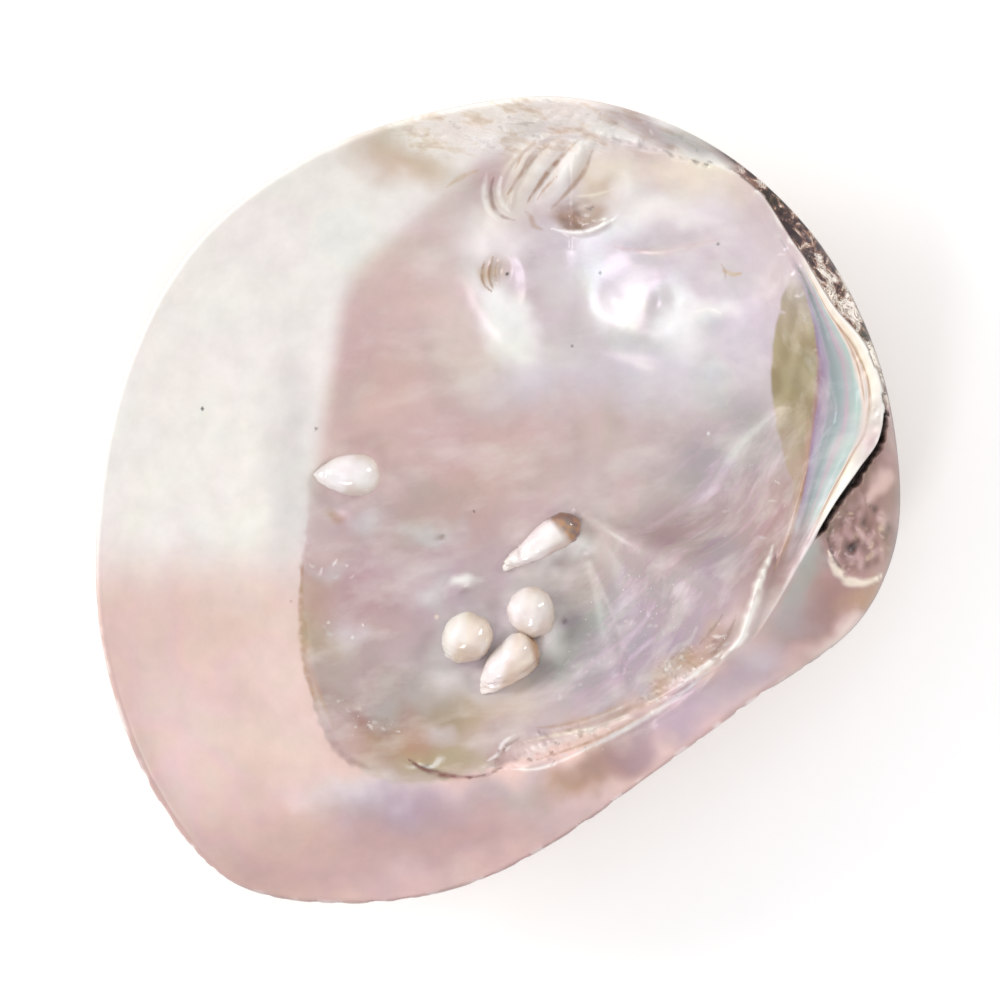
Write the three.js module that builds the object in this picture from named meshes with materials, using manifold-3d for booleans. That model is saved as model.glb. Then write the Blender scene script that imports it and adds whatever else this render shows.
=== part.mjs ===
// One valve of a freshwater pearl mussel, polished inside and out, lying on its rounded
// back like a shallow dish, with five blister pearls grown fast to the lining.
// It grew as one piece, so it is one closed solid.
// Millimetres. +Z points up out of the hollow, +X to the beak side, +Y to the front end.

import * as THREE from "three";
import { mergeVertices } from "three/addons/utils/BufferGeometryUtils.js";
import Module from "manifold-3d";

// ---- Driving dimensions -------------------------------------------------------------

const MARGIN_HEIGHT = 32; // free edge above the surface the valve lies on
const BACK_CENTRE = [13, -1]; // lowest point of the rounded back, in plan
const REST_CUT = 0.45; // worn off the lowest point, which leaves the flat it rests on
const WALL_MIDDLE = 4.2; // shell thickness under the basin
const WALL_EDGE = 2.6; // shell thickness near the free edge
const EDGE_ROUNDING = 1.3; // radius of the polished free edge

const BEAK_ANGLE = -8; // degrees, direction of the beak seen from the back's lowest point
const BEAK_SPREAD = 62; // degrees each way over which the back bulges past the hinge
const BEAK_DROP = 13; // how far the widest line sinks below the free edge at the beak
const CREST_HEIGHT = 34; // hinge lip and tooth crest
const CREST_FALL = 13.5; // how far the crest sinks towards its hind end
const PLATE_WIDTH = 8; // widest part of the hinge plate

const SECTORS = 96; // facets around the valve
const FLOOR_RINGS = 11; // from the middle of the basin out to the foot of the hinge plate
const PLATE_RINGS = 3; // across the hinge plate to the crest, or up to the pallial line
const BAND_RINGS = 5; // from there out to the widest line
const BACK_RINGS = 11; // from the widest line down to the flat underneath

// Plan outline, the widest line of the valve, anticlockwise from the beak.
const OUTLINE = [
  [73.5, 0], [69.3, 25.3], [57.3, 48], [37.6, 65.3], [12.9, 73.4], [-12.5, 70.7],
  [-35.8, 62.2], [-55.6, 46.7], [-67.8, 24.5], [-73, 0], [-72.4, -26.4], [-63.1, -52.9],
  [-48.5, -69.5], [-26.7, -73.3], [-6.3, -70], [10.9, -61.5], [28.4, -49.1],
  [44.7, -37.5], [64.7, -23.5], [71.3, -12.5],
];

// The inner line: crest of the hinge on the beak side, pallial line everywhere else.
const INNER_LINE = [
  [61, 0], [65.2, 6], [68.8, 11.5], [69.4, 19.5], [66, 28.5], [60.3, 35.5], [53, 47.5],
  [45, 58.2], [34, 62.8], [22, 66], [8, 68], [-3, 63], [-18.2, 50.5], [-27.8, 41.5],
  [-31.5, 25], [-34, 10], [-36.6, -10], [-36, -31], [-30, -46.7], [-18.2, -52],
  [-5, -50.3], [4, -47.5], [18, -42], [31, -35], [39, -30.5], [45, -26], [50, -20],
  [54.5, -13], [58.3, -6],
];

// Hinge teeth: crest line in plan, height and half width.
const TEETH = [
  { crest: [[49, -8], [46.4, -14.5], [44.5, -20], [42.3, -24.5]], height: 2.6, width: 1.8 },
  { crest: [[56.7, 8], [54.5, 3.6], [51.8, -7.3]], height: 1.4, width: 1.4 },
];

// Blister pearls: body in plan, its radii along and across, and the point it tapers to.
const PEARLS = [
  { body: [-26.6, 4.9], radius: 4.7, tip: [-34.8, 5], rise: 2.4 },
  { body: [5.5, -20.9], radius: 4.7, tip: [1.6, -23.6], rise: 3 },
  { body: [-5.9, -25], radius: 4.7, tip: [-10.9, -28.6], rise: 2.6 },
  { body: [3.2, -28.9], radius: 4.2, tip: [-4, -35.6], rise: 2 },
  { body: [11, -5.3], radius: 4.1, tip: [0.4, -12.6], rise: 0.4 },
];

// ---- Small helpers ------------------------------------------------------------------

const DEGREE = Math.PI / 180;
const clamp = (value) => Math.min(1, Math.max(0, value));
const mix = (a, b, t) => a + (b - a) * t;

function ease(from, to, value) {
  const t = clamp((value - from) / (to - from));
  return t * t * (3 - 2 * t);
}

// A smooth hill, 1 at the middle and 0 from one spread away.
function hill(angle, middle, spread) {
  const u = Math.min(1, Math.abs(angle - middle) / spread);
  return (1 - u * u) ** 2;
}

// The larger of two heights, with a fillet where they cross.
function joined(a, b, fillet) {
  return (a + b + Math.hypot(a - b, fillet)) / 2;
}

function smoothLine(points, closed, count) {
  const path = points.map(([x, y]) => new THREE.Vector3(x, y, 0));
  return new THREE.CatmullRomCurve3(path, closed, "centripetal").getPoints(count);
}

// The nearest point in plan on a line of points, and how far off it is.
function nearestOn(line, x, y) {
  let best = { distance: Infinity };
  for (let i = 1; i < line.length; i++) {
    const from = line[i - 1];
    const dx = line[i].x - from.x;
    const dy = line[i].y - from.y;
    const along = clamp(((x - from.x) * dx + (y - from.y) * dy) / (dx * dx + dy * dy));
    const nearX = from.x + along * dx;
    const nearY = from.y + along * dy;
    const distance = Math.hypot(x - nearX, y - nearY);
    if (distance < best.distance) best = { distance, x: nearX, y: nearY };
  }
  return best;
}

// Direction in plan from the back's lowest point, in degrees.
const angleOf = (x, y) => Math.atan2(y - BACK_CENTRE[1], x - BACK_CENTRE[0]) / DEGREE;

// How far a closed line lies from the back's lowest point, in a given direction.
function reachOf(line) {
  const reachTo = (p) => Math.hypot(p.x - BACK_CENTRE[0], p.y - BACK_CENTRE[1]);
  const polar = line.slice(1).map((p) => ({ angle: angleOf(p.x, p.y), reach: reachTo(p) }));
  polar.sort((a, b) => a.angle - b.angle);
  const first = polar[0];
  const last = polar[polar.length - 1];
  polar.unshift({ angle: last.angle - 360, reach: last.reach });
  polar.push({ angle: first.angle + 360, reach: first.reach });
  return (angle) => {
    const next = polar.findIndex((p) => p.angle > angle);
    const a = polar[next - 1];
    const b = polar[next];
    return mix(a.reach, b.reach, (angle - a.angle) / (b.angle - a.angle));
  };
}

const LINE_STEPS = 480;
const innerLine = smoothLine(INNER_LINE, true, LINE_STEPS);
const outlineReach = reachOf(smoothLine(OUTLINE, true, LINE_STEPS));
const innerReach = reachOf(innerLine);
const teeth = TEETH.map((tooth) => ({ ...tooth, line: smoothLine(tooth.crest, false, 12) }));

// ---- Heights ------------------------------------------------------------------------

// A place on the valve in plan, seen from the back's lowest point.
function placeAt(x, y) {
  const angle = angleOf(x, y);
  const outer = outlineReach(angle);
  const reach = Math.hypot(x - BACK_CENTRE[0], y - BACK_CENTRE[1]);
  return { x, y, angle, outer, out: Math.min(1, reach / outer) };
}

// The widest line runs level with the free edge and sinks round the beak.
const edgeHeight = (angle) => MARGIN_HEIGHT - BEAK_DROP * hill(angle, BEAK_ANGLE, BEAK_SPREAD);

// The rounded back: a parabola's section in front, nearer an ellipse's under the beak.
function backHeight({ angle, out }) {
  const fullness = 1.15 + 0.15 * hill(angle, BEAK_ANGLE, 90);
  const rise = edgeHeight(angle) * (1 - (1 - out * out) ** (1 / fullness));
  return Math.max(0, rise - REST_CUT);
}

// The lining follows the back at the thickness of the wall, rounded off at the free edge.
function dishHeight(place) {
  const inFromEdge = (1 - place.out) * place.outer;
  const curl = 1 - Math.min(1, inFromEdge / EDGE_ROUNDING);
  const wall = mix(WALL_MIDDLE, WALL_EDGE, place.out) * Math.sqrt(1 - curl * curl);
  return backHeight(place) + wall;
}

// 1 along the hinge, 0 along the pallial line.
function hingeShare(angle) {
  return ease(-88, -68, angle) * (1 - ease(46, 57, angle));
}

function crestHeight(angle) {
  return CREST_HEIGHT - CREST_FALL * ease(-30, -82, angle) - 1.4 * ease(20, 55, angle);
}

// The hinge plate is widest over the hollow of the beak, and narrow beside the teeth.
function plateWidth(angle) {
  return 1.5 + PLATE_WIDTH * hill(angle, 12, 30) + 3.4 * hill(angle, -22, 28);
}

// The hinge plate and the wall under it, by distance in from the crest.
function wallHeight(angle, fromCrest) {
  const plate = plateWidth(angle);
  const steepness = 1.1 + 1.5 * hill(angle, 20, 50);
  const onPlate = 0.22 * Math.min(fromCrest, plate);
  const belowPlate = steepness * Math.max(0, fromCrest - plate);
  const clearOfBasin = 25 * (1 - hingeShare(angle));
  return crestHeight(angle) - onPlate - belowPlate - clearOfBasin;
}

function toothHeight(x, y) {
  let height = 0;
  for (const { line, height: tall, width } of teeth) {
    const across = nearestOn(line, x, y).distance / width;
    height = Math.max(height, tall * Math.exp(-across * across));
  }
  return height;
}

const FILLET = 3;

function innerHeight(place) {
  const crest = nearestOn(innerLine, place.x, place.y);
  const wall = wallHeight(angleOf(crest.x, crest.y), crest.distance);
  return joined(dishHeight(place), wall, FILLET) + toothHeight(place.x, place.y);
}

// Outside the inner line the crest's lift dies away towards the widest line: as a round
// beak on the beak side, as a nearly level band further back.
function bandHeight(place, across) {
  const inner = innerReach(place.angle);
  const foot = dishHeight({ ...place, out: inner / place.outer });
  const lift = joined(foot, wallHeight(place.angle, 0), FILLET) - foot;
  const beak = ease(-48, -26, place.angle);
  const round = (1 - across ** 1.5) ** 0.75;
  const level = (1 - across) ** 1.2;
  return dishHeight(place) + lift * mix(level, round, beak);
}

// The height of the lining under a plan point inside the inner line.
const liningAt = ([x, y]) => innerHeight(placeAt(x, y));

// ---- The shell's skin ---------------------------------------------------------------

// One ring of points at a share of the way out, and its height rule.
function ring(reachAt, heightAt) {
  const points = [];
  for (let sector = 0; sector < SECTORS; sector++) {
    const angle = -180 + (360 * sector) / SECTORS;
    const reach = reachAt(angle);
    const x = BACK_CENTRE[0] + reach * Math.cos(angle * DEGREE);
    const y = BACK_CENTRE[1] + reach * Math.sin(angle * DEGREE);
    const place = { x, y, angle, outer: outlineReach(angle), out: 0 };
    place.out = Math.min(1, reach / place.outer);
    points.push([x, y, heightAt(place)]);
  }
  return points;
}

function skinRings() {
  const rings = [];
  const footReach = (angle) => innerReach(angle) - plateWidth(angle);
  for (let i = 1; i <= FLOOR_RINGS; i++) {
    const share = 1 - (1 - i / FLOOR_RINGS) ** 1.35;
    rings.push(ring((angle) => share * footReach(angle), innerHeight));
  }
  for (let i = 1; i <= PLATE_RINGS; i++) {
    const reachAt = (angle) => mix(footReach(angle), innerReach(angle), i / PLATE_RINGS);
    rings.push(ring(reachAt, innerHeight));
  }
  for (let i = 1; i <= BAND_RINGS; i++) {
    const share = Math.sin((Math.PI / 2) * (i / BAND_RINGS));
    const reachAt = (angle) => mix(innerReach(angle), outlineReach(angle), share);
    rings.push(ring(reachAt, (place) => bandHeight(place, share)));
  }
  for (let i = 1; i <= BACK_RINGS; i++) {
    const share = Math.cos((Math.PI / 2) * (i / (BACK_RINGS + 1)) ** 0.9);
    rings.push(ring((angle) => share * outlineReach(angle), backHeight));
  }
  return rings;
}

// Closes the rings into one skin, from the middle of the basin to the flat underneath.
function shellGeometry() {
  const rings = skinRings();
  const positions = [[...BACK_CENTRE, liningAt(BACK_CENTRE)], ...rings.flat()];
  positions.push([...BACK_CENTRE, 0]);
  const last = positions.length - 1;
  const at = (row, sector) => 1 + row * SECTORS + (sector % SECTORS);
  const faces = [];
  for (let sector = 0; sector < SECTORS; sector++) {
    faces.push(0, at(0, sector), at(0, sector + 1));
    for (let row = 1; row < rings.length; row++) {
      faces.push(at(row - 1, sector), at(row, sector), at(row, sector + 1));
      faces.push(at(row - 1, sector), at(row, sector + 1), at(row - 1, sector + 1));
    }
    const bottom = rings.length - 1;
    faces.push(at(bottom, sector), last, at(bottom, sector + 1));
  }
  const geometry = new THREE.BufferGeometry();
  geometry.setAttribute("position", new THREE.Float32BufferAttribute(positions.flat(), 3));
  geometry.setIndex(faces);
  return geometry;
}

// ---- Pearls -------------------------------------------------------------------------

const PEARL_STEPS = 7; // facets from the round end to the middle, and on to the tip
const PEARL_SIDES = 14;

// A drop turned about +Y: a half ball behind its middle, drawn out to the tip in front.
function pearlGeometry(radius, length) {
  const profile = [];
  for (let i = 0; i <= PEARL_STEPS; i++) {
    const turn = (Math.PI / 2) * (i / PEARL_STEPS);
    profile.push(new THREE.Vector2(radius * Math.sin(turn), -radius * Math.cos(turn)));
  }
  for (let i = 1; i <= PEARL_STEPS; i++) {
    const turn = (Math.PI / 2) * (i / PEARL_STEPS);
    const slim = Math.cos(turn) ** mix(1, 1.35, ease(1, 2, length / radius));
    profile.push(new THREE.Vector2(radius * slim, length * Math.sin(turn)));
  }
  profile[0].x = 0;
  profile[profile.length - 1].x = 0;
  return new THREE.LatheGeometry(profile, PEARL_SIDES);
}

// Lays a drop on the lining with its tip touching down.
function placedPearl({ body, radius, tip, rise }) {
  const centre = new THREE.Vector3(...body, liningAt(body) + rise);
  const end = new THREE.Vector3(...tip, liningAt(tip) + 0.4);
  const direction = end.clone().sub(centre);
  const geometry = pearlGeometry(radius, Math.max(radius, direction.length()));
  const up = new THREE.Vector3(0, 1, 0);
  const turn = new THREE.Quaternion().setFromUnitVectors(up, direction.normalize());
  return geometry.applyQuaternion(turn).translate(centre.x, centre.y, centre.z);
}

// ---- One solid ----------------------------------------------------------------------

function solidOf(wasm, geometry) {
  geometry.deleteAttribute("normal");
  geometry.deleteAttribute("uv");
  const merged = mergeVertices(geometry, 1e-4);
  const vertProperties = new Float32Array(merged.attributes.position.array);
  const triVerts = new Uint32Array(merged.index.array);
  return new wasm.Manifold(new wasm.Mesh({ numProp: 3, vertProperties, triVerts }));
}

function geometryOf(solid) {
  const { vertProperties, triVerts } = solid.getMesh();
  const geometry = new THREE.BufferGeometry();
  geometry.setAttribute("position", new THREE.BufferAttribute(vertProperties, 3));
  geometry.setIndex(new THREE.BufferAttribute(triVerts, 1));
  return geometry;
}

// Puts the origin under the middle of the valve, on the surface it rests on.
function centred(geometry) {
  geometry.computeBoundingBox();
  const { min, max } = geometry.boundingBox;
  geometry.translate(-(min.x + max.x) / 2, -(min.y + max.y) / 2, -min.z);
  geometry.computeVertexNormals();
  return geometry;
}

const wasm = await Module();
wasm.setup();

let solid = solidOf(wasm, shellGeometry());
for (const pearl of PEARLS) {
  solid = solid.add(solidOf(wasm, placedPearl(pearl)));
}

const nacre = new THREE.MeshStandardMaterial({ color: 0xe2d2cc, roughness: 0.3, metalness: 0 });
const valve = new THREE.Mesh(centred(geometryOf(solid)), nacre);
valve.name = "valve";

const group = new THREE.Group();
group.add(valve);

export default group;
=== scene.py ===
import math

import bpy
import numpy as np
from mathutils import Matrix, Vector
from mathutils.geometry import delaunay_2d_cdt


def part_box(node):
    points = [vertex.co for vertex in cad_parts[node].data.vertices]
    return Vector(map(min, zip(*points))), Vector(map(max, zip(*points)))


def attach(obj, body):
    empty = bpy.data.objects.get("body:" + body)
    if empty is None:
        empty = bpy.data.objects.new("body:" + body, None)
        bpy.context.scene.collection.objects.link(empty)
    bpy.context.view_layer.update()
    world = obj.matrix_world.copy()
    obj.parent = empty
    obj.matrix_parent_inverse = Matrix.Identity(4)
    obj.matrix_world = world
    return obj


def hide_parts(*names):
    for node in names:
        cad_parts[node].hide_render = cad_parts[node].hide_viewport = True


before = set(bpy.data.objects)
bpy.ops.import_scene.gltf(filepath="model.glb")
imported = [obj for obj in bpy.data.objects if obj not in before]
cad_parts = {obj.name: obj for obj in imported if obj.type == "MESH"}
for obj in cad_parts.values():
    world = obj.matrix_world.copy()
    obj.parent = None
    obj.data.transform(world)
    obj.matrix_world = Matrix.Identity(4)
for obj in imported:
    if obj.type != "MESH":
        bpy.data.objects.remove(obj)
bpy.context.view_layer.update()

# One polished valve of a freshwater pearl mussel, hollow side up. The plan is drawn in
# millimetres about the middle of the valve, +X to the beak and +Y to the front muscle, and
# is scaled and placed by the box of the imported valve.

VALVE_LOW, VALVE_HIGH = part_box("valve")
PLAN_WIDTH_MM = 147.1
MM = (VALVE_HIGH[0] - VALVE_LOW[0]) / PLAN_WIDTH_MM

# Driving sizes, in millimetres and degrees.
MARGIN_HEIGHT = 32.0        # free edge above the surface it lies on
BACK_CENTRE = (13.0, -1.0)  # lowest point of the rounded back
REST_CUT = 0.45             # worn flat that it rests on
WALL_MIDDLE = 4.2           # wall at the lowest point
WALL_EDGE = 2.6             # wall at the free edge
EDGE_ROUNDING = 1.3         # how far in the free edge is rounded
BEAK_ANGLE = -8.0           # direction of the beak from the lowest point
BEAK_SPREAD = 62.0          # how far to each side the edge drops towards it
BEAK_DROP = 13.0
CREST_HEIGHT = 34.0         # crest of the hinge
CREST_FALL = 13.5           # its fall towards the hind end
CREST_DIP = 1.4             # its fall towards the front end
LIP_WIDTH = 1.5             # hinge plate at its ends
PLATE_WIDTH = 7.2           # what the plate adds to that in front of the beak
HIND_PLATE_WIDTH = 3.4      # and behind it
PLATE_SLOPE = 0.22
WALL_SLOPE = 1.1            # wall under the plate, at the ends
STEEPEST = 1.5              # what it adds to that in the middle
WALL_SINK = 25.0            # away from the hinge the wall drops out of sight in the lining
FILLET = 6.0                # hollow curve where the hinge wall meets the lining
BEAK_POINT = (67.0, -5.0)   # where growth began, middle of all growth lines
YEARS = 9                   # growth rests on the back

OUTLINE = [
    (73.5, 0), (69.3, 25.3), (57.3, 48), (37.6, 65.3), (12.9, 73.4), (-12.5, 70.7),
    (-35.8, 62.2), (-55.6, 46.7), (-67.8, 24.5), (-73, 0), (-72.4, -26.4),
    (-63.1, -52.9), (-48.5, -69.5), (-26.7, -73.3), (-6.3, -70), (10.9, -61.5),
    (28.4, -49.1), (44.7, -37.5), (64.7, -23.5), (71.3, -12.5),
]

# Crest of the hinge on the beak side, pallial line everywhere else.
INNER_LINE = [
    (-36.6, -10), (-36, -31), (-30, -46.7), (-18.2, -52), (-5, -50.3), (4, -47.5),
    (18, -42), (31, -35), (39, -30.5), (45, -26), (49.2, -20), (53.4, -12.8), (57.4, -6),
    (61, 0), (65.2, 6), (68.8, 11.5), (69.4, 19.5), (66, 28.5), (60.3, 35.5), (53, 47.5),
    (45, 58.2), (34, 62.8), (22, 66), (8, 68), (-3, 63), (-18.2, 50.5), (-27.8, 41.5),
    (-31.5, 25), (-34, 10),
]


# ---- Numbers ------------------------------------------------------------------------

def ease(start, end, value):
    """0 at the start, 1 at the end, and even at both."""
    t = np.clip((value - start) / (end - start), 0, 1)
    return t * t * (3 - 2 * t)


def hill(value, middle, spread):
    """1 at the middle, down to 0 a spread away on each side."""
    u = np.clip(np.abs(value - middle) / spread, 0, 1)
    return (1 - u * u) ** 2


def between(start, full, fading, end, value):
    """0, up to 1 between full and fading, and down to 0 again."""
    return ease(start, full, value) * (1 - ease(fading, end, value))


def mix(a, b, t):
    return a + (b - a) * t


def joined(a, b, fillet):
    """The higher of two heights, with a soft hollow where they meet."""
    return (a + b + np.hypot(a - b, fillet)) / 2


def smooth_line(points, closed=False, step=0.5):
    """A centripetal Catmull-Rom line through the points, with a point about every step."""
    pts = [np.array(p, float) for p in points]
    if closed:
        pts = [pts[-1], *pts, pts[0], pts[1]]
    else:
        pts = [2 * pts[0] - pts[1], *pts, 2 * pts[-1] - pts[-2]]
    line = []
    for p0, p1, p2, p3 in zip(pts, pts[1:], pts[2:], pts[3:]):
        k1 = np.linalg.norm(p1 - p0) ** 0.5
        k2 = k1 + np.linalg.norm(p2 - p1) ** 0.5
        k3 = k2 + np.linalg.norm(p3 - p2) ** 0.5
        count = max(2, round(np.linalg.norm(p2 - p1) / step))
        for k in np.linspace(k1, k2, count, endpoint=False):
            a1 = p0 + (p1 - p0) * k / k1
            a2 = p1 + (p2 - p1) * (k - k1) / (k2 - k1)
            a3 = p2 + (p3 - p2) * (k - k2) / (k3 - k2)
            b1 = a1 + (a2 - a1) * k / k2
            b2 = a2 + (a3 - a2) * (k - k1) / (k3 - k1)
            line.append(b1 + (b2 - b1) * (k - k1) / (k2 - k1))
    line.append(line[0] if closed else pts[-2])
    return np.array(line)


def nearest_on(line, x, y):
    """Distance off a line, and how far along it the nearest point is."""
    off = np.full(x.shape, 1e9)
    along = np.zeros(x.shape)
    start = 0.0
    for a, b in zip(line, line[1:]):
        step = b - a
        length = math.hypot(*step)
        if length == 0:
            continue
        t = np.clip(((x - a[0]) * step[0] + (y - a[1]) * step[1]) / length ** 2, 0, 1)
        distance = np.hypot(x - a[0] - t * step[0], y - a[1] - t * step[1])
        closer = distance < off
        off = np.where(closer, distance, off)
        along = np.where(closer, start + t * length, along)
        start += length
    return off, along


def direction(x, y, centre=BACK_CENTRE):
    return np.degrees(np.arctan2(y - centre[1], x - centre[0]))


def reach_of(line, centre=BACK_CENTRE):
    """How far a closed line lies from a centre, by direction."""
    angle = direction(line[:-1, 0], line[:-1, 1], centre)
    reach = np.hypot(line[:-1, 0] - centre[0], line[:-1, 1] - centre[1])
    order = np.argsort(angle)
    return lambda at: np.interp(at, angle[order], reach[order], period=360)


def ripple(x, y, size, seed):
    """Soft unevenness about so many millimetres across, mostly between -1 and 1."""
    rng = np.random.default_rng(seed)
    total = np.zeros(x.shape)
    for _ in range(8):
        heading = rng.uniform(0, math.tau)
        pace = math.tau / size * rng.uniform(0.65, 1.5)
        phase = rng.uniform(0, math.tau)
        total += np.sin(pace * (x * math.cos(heading) + y * math.sin(heading)) + phase)
    return total / 4


OUTLINE_LINE = smooth_line(OUTLINE, closed=True)
CREST_LINE = smooth_line(INNER_LINE, closed=True, step=0.4)
outline_reach = reach_of(OUTLINE_LINE)
inner_reach = reach_of(CREST_LINE)
growth_reach = reach_of(OUTLINE_LINE, BEAK_POINT)


# ---- Form of the valve --------------------------------------------------------------

class Spots:
    """Plan points and where they lie on the valve: how far out from the lowest point and in
    from the free edge, how far from the crest line and along it, and how far grown."""

    def __init__(self, x, y):
        self.x = np.asarray(x, float)
        self.y = np.asarray(y, float)
        self.angle = direction(self.x, self.y)
        self.outer = outline_reach(self.angle)
        reach = np.hypot(self.x - BACK_CENTRE[0], self.y - BACK_CENTRE[1])
        self.out = np.clip(reach / self.outer, 0, 1)
        self.inset = (1 - self.out) * self.outer
        self.inner = inner_reach(self.angle)
        self.off_crest, self.along = nearest_on(CREST_LINE, self.x, self.y)
        self.outside = reach > self.inner
        band = (reach - self.inner) / np.maximum(self.outer - self.inner, 1e-6)
        self.across = np.clip(band, 0, 1)
        crest_x = np.interp(self.along, CREST_STEPS, CREST_LINE[:, 0])
        crest_y = np.interp(self.along, CREST_STEPS, CREST_LINE[:, 1])
        self.crest_angle = direction(crest_x, crest_y)
        from_beak = np.hypot(self.x - BEAK_POINT[0], self.y - BEAK_POINT[1])
        beak_way = direction(self.x, self.y, BEAK_POINT)
        self.growth = np.clip(from_beak / growth_reach(beak_way), 0, 1)


CREST_STEPS = np.concatenate(
    [[0], np.cumsum(np.hypot(*np.diff(CREST_LINE, axis=0).T))])


def edge_height(angle):
    return MARGIN_HEIGHT - BEAK_DROP * hill(angle, BEAK_ANGLE, BEAK_SPREAD)


def back_height(angle, out):
    """The rounded back, from 0 at its lowest point to the free edge."""
    fullness = 1.15 + 0.15 * hill(angle, BEAK_ANGLE, 90)
    rise = edge_height(angle) * (1 - (1 - out * out) ** (1 / fullness))
    return np.maximum(0, rise - REST_CUT)


def dish_height(angle, out, outer):
    """The lining, a wall above the back, curled over at the free edge."""
    curl = 1 - np.minimum(1, (1 - out) * outer / EDGE_ROUNDING)
    wall = mix(WALL_MIDDLE, WALL_EDGE, out) * np.sqrt(np.maximum(0, 1 - curl * curl))
    return back_height(angle, out) + wall


def hinge_share(angle):
    """1 along the hinge and the beak, 0 round the rest of the edge."""
    return between(-88, -68, 46, 57, angle)


def crest_height(angle):
    fall = CREST_FALL * ease(30, 82, -angle)
    return CREST_HEIGHT - fall - CREST_DIP * ease(20, 55, angle)


def plate_width(angle):
    front = PLATE_WIDTH * hill(angle, 20, 38)
    return LIP_WIDTH + front + HIND_PLATE_WIDTH * hill(angle, -22, 28)


def wall_height(angle, from_crest):
    """The hinge from its crest inwards: a gently sloping plate, then a steep wall."""
    plate = plate_width(angle)
    steepness = WALL_SLOPE + STEEPEST * hill(angle, 20, 50)
    on_plate = PLATE_SLOPE * np.minimum(from_crest, plate)
    below_plate = steepness * np.maximum(0, from_crest - plate)
    sunk = WALL_SINK * (1 - hinge_share(angle))
    return crest_height(angle) - on_plate - below_plate - sunk


def inside_height(s):
    """The basin, and the wall of the hinge that rises out of it."""
    wall = wall_height(s.angle, s.off_crest)
    fillet = FILLET * hinge_share(s.angle)
    return joined(dish_height(s.angle, s.out, s.outer), wall, fillet)


def band_height(s):
    """The free band, and the beak where it swells outside the hinge."""
    foot = dish_height(s.angle, s.inner / s.outer, s.outer)
    lift = joined(foot, wall_height(s.angle, 0), FILLET * hinge_share(s.angle)) - foot
    beak = ease(-48, -26, s.angle)
    round_beak = (1 - s.across ** 1.5) ** 0.75
    level = (1 - s.across) ** 1.2
    return dish_height(s.angle, s.out, s.outer) + lift * mix(level, round_beak, beak)


# ---- Relief of the lining -----------------------------------------------------------

# Ridges: crest in plan, height, half width on each side.
TOOTH_RIDGES = [
    ([(49.7, -7.6), (47, -14.5), (45.2, -20.5), (43.2, -25.6), (39.6, -29)], 1.9, 1.0),
    ([(56.3, 14), (55.7, 7.5), (53.9, -0.4), (52.2, -7), (49.9, -12.2)], 1.0, 0.9),
]

# Nested ovals of the front scar: middle, half length, half width, turn, height.
SCAR_OVALS = [
    (11.9, 60.4, 8.6, 3.1, 53, 1.5), (7.6, 61.2, 8.4, 2.8, 52, 1.25),
    (3.8, 60.6, 7.4, 2.4, 56, 0.9), (18.4, 60.6, 4.8, 4.2, 60, 0.5),
]

SCAR_RIDGES = [
    ([(-0.4, 54.6), (1.2, 60.4), (5.6, 65), (11, 67), (16.2, 66.6)], 0.45, 0.6),
    ([(1.8, 53.4), (3, 58.6), (6.6, 63.8), (11.4, 65.9), (15.4, 65.4)], 0.4, 0.5),
    ([(10.6, 50.4), (13.4, 49.6), (17, 50), (20.6, 51.8)], 0.6, 0.6),
]

HIND_SCAR_RIDGES = [
    ([(-4, -49), (3, -45.8), (11, -43.2), (20, -40.3), (28, -36.6), (35, -32.6)], 0.6, 0.8),
    ([(3, -49.2), (10, -47), (18, -43.9), (25, -40.2)], 0.45, 0.8),
    ([(5, -43.2), (12, -41.4), (20, -38.6), (27, -35)], 0.35, 0.7),
    ([(20, -44.6), (28, -40.2), (36, -34.6), (41, -29.6)], 0.35, 0.6),
]

# Low blisters in the lining: place, radii, turn in degrees, height.
BLISTERS = [
    (-30.3, -3.8, 3.4, 3.2, 0, 0.7), (-24.2, -4.4, 5.2, 3.6, 10, 0.6),
    (-14, -6.2, 3.8, 2.4, 0, 0.6), (-8.6, -5.7, 3.4, 2.3, -10, 0.7),
    (-12.2, -17.3, 3.8, 2.9, 10, 0.6), (-7.4, -16.2, 2.2, 1.4, 25, 0.7),
    (-27, -24.6, 4.4, 3, -10, 0.5), (-31, -12.4, 4, 2.4, 0, 0.35),
    (-8.4, -33, 6.2, 3, -25, 0.6), (15.9, -9.8, 1.6, 1.1, 20, 0.6),
    (14.2, -7.2, 3, 1.6, 35, 0.6), (-27.3, -38.4, 2.4, 1.4, -20, 0.4),
    (-22, -41, 2, 1, -20, 0.4), (-14.6, -48.6, 2.4, 0.9, 12, 0.7),
    (-11, -44.4, 3.4, 1.8, -10, 0.4), (-34, -14, 1.8, 1.2, 0, 0.4),
    (-27.4, 4.4, 8.4, 6.2, 0, 1.5), (5.8, -21.2, 7.4, 7.2, -60, 1.7),
    (-6.4, -25.6, 7.2, 6.6, 40, 1.5), (1.4, -30.4, 8.6, 5.6, 42, 1.5),
    (7.4, -8.2, 10, 5, 35, 1.5), (1.0, -24.6, 6, 5, 0, 0.9), (8.6, -25.4, 3, 4, 20, 0.9),
    (12.8, -8.4, 4.2, 2.2, 40, 1.1),
]

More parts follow.
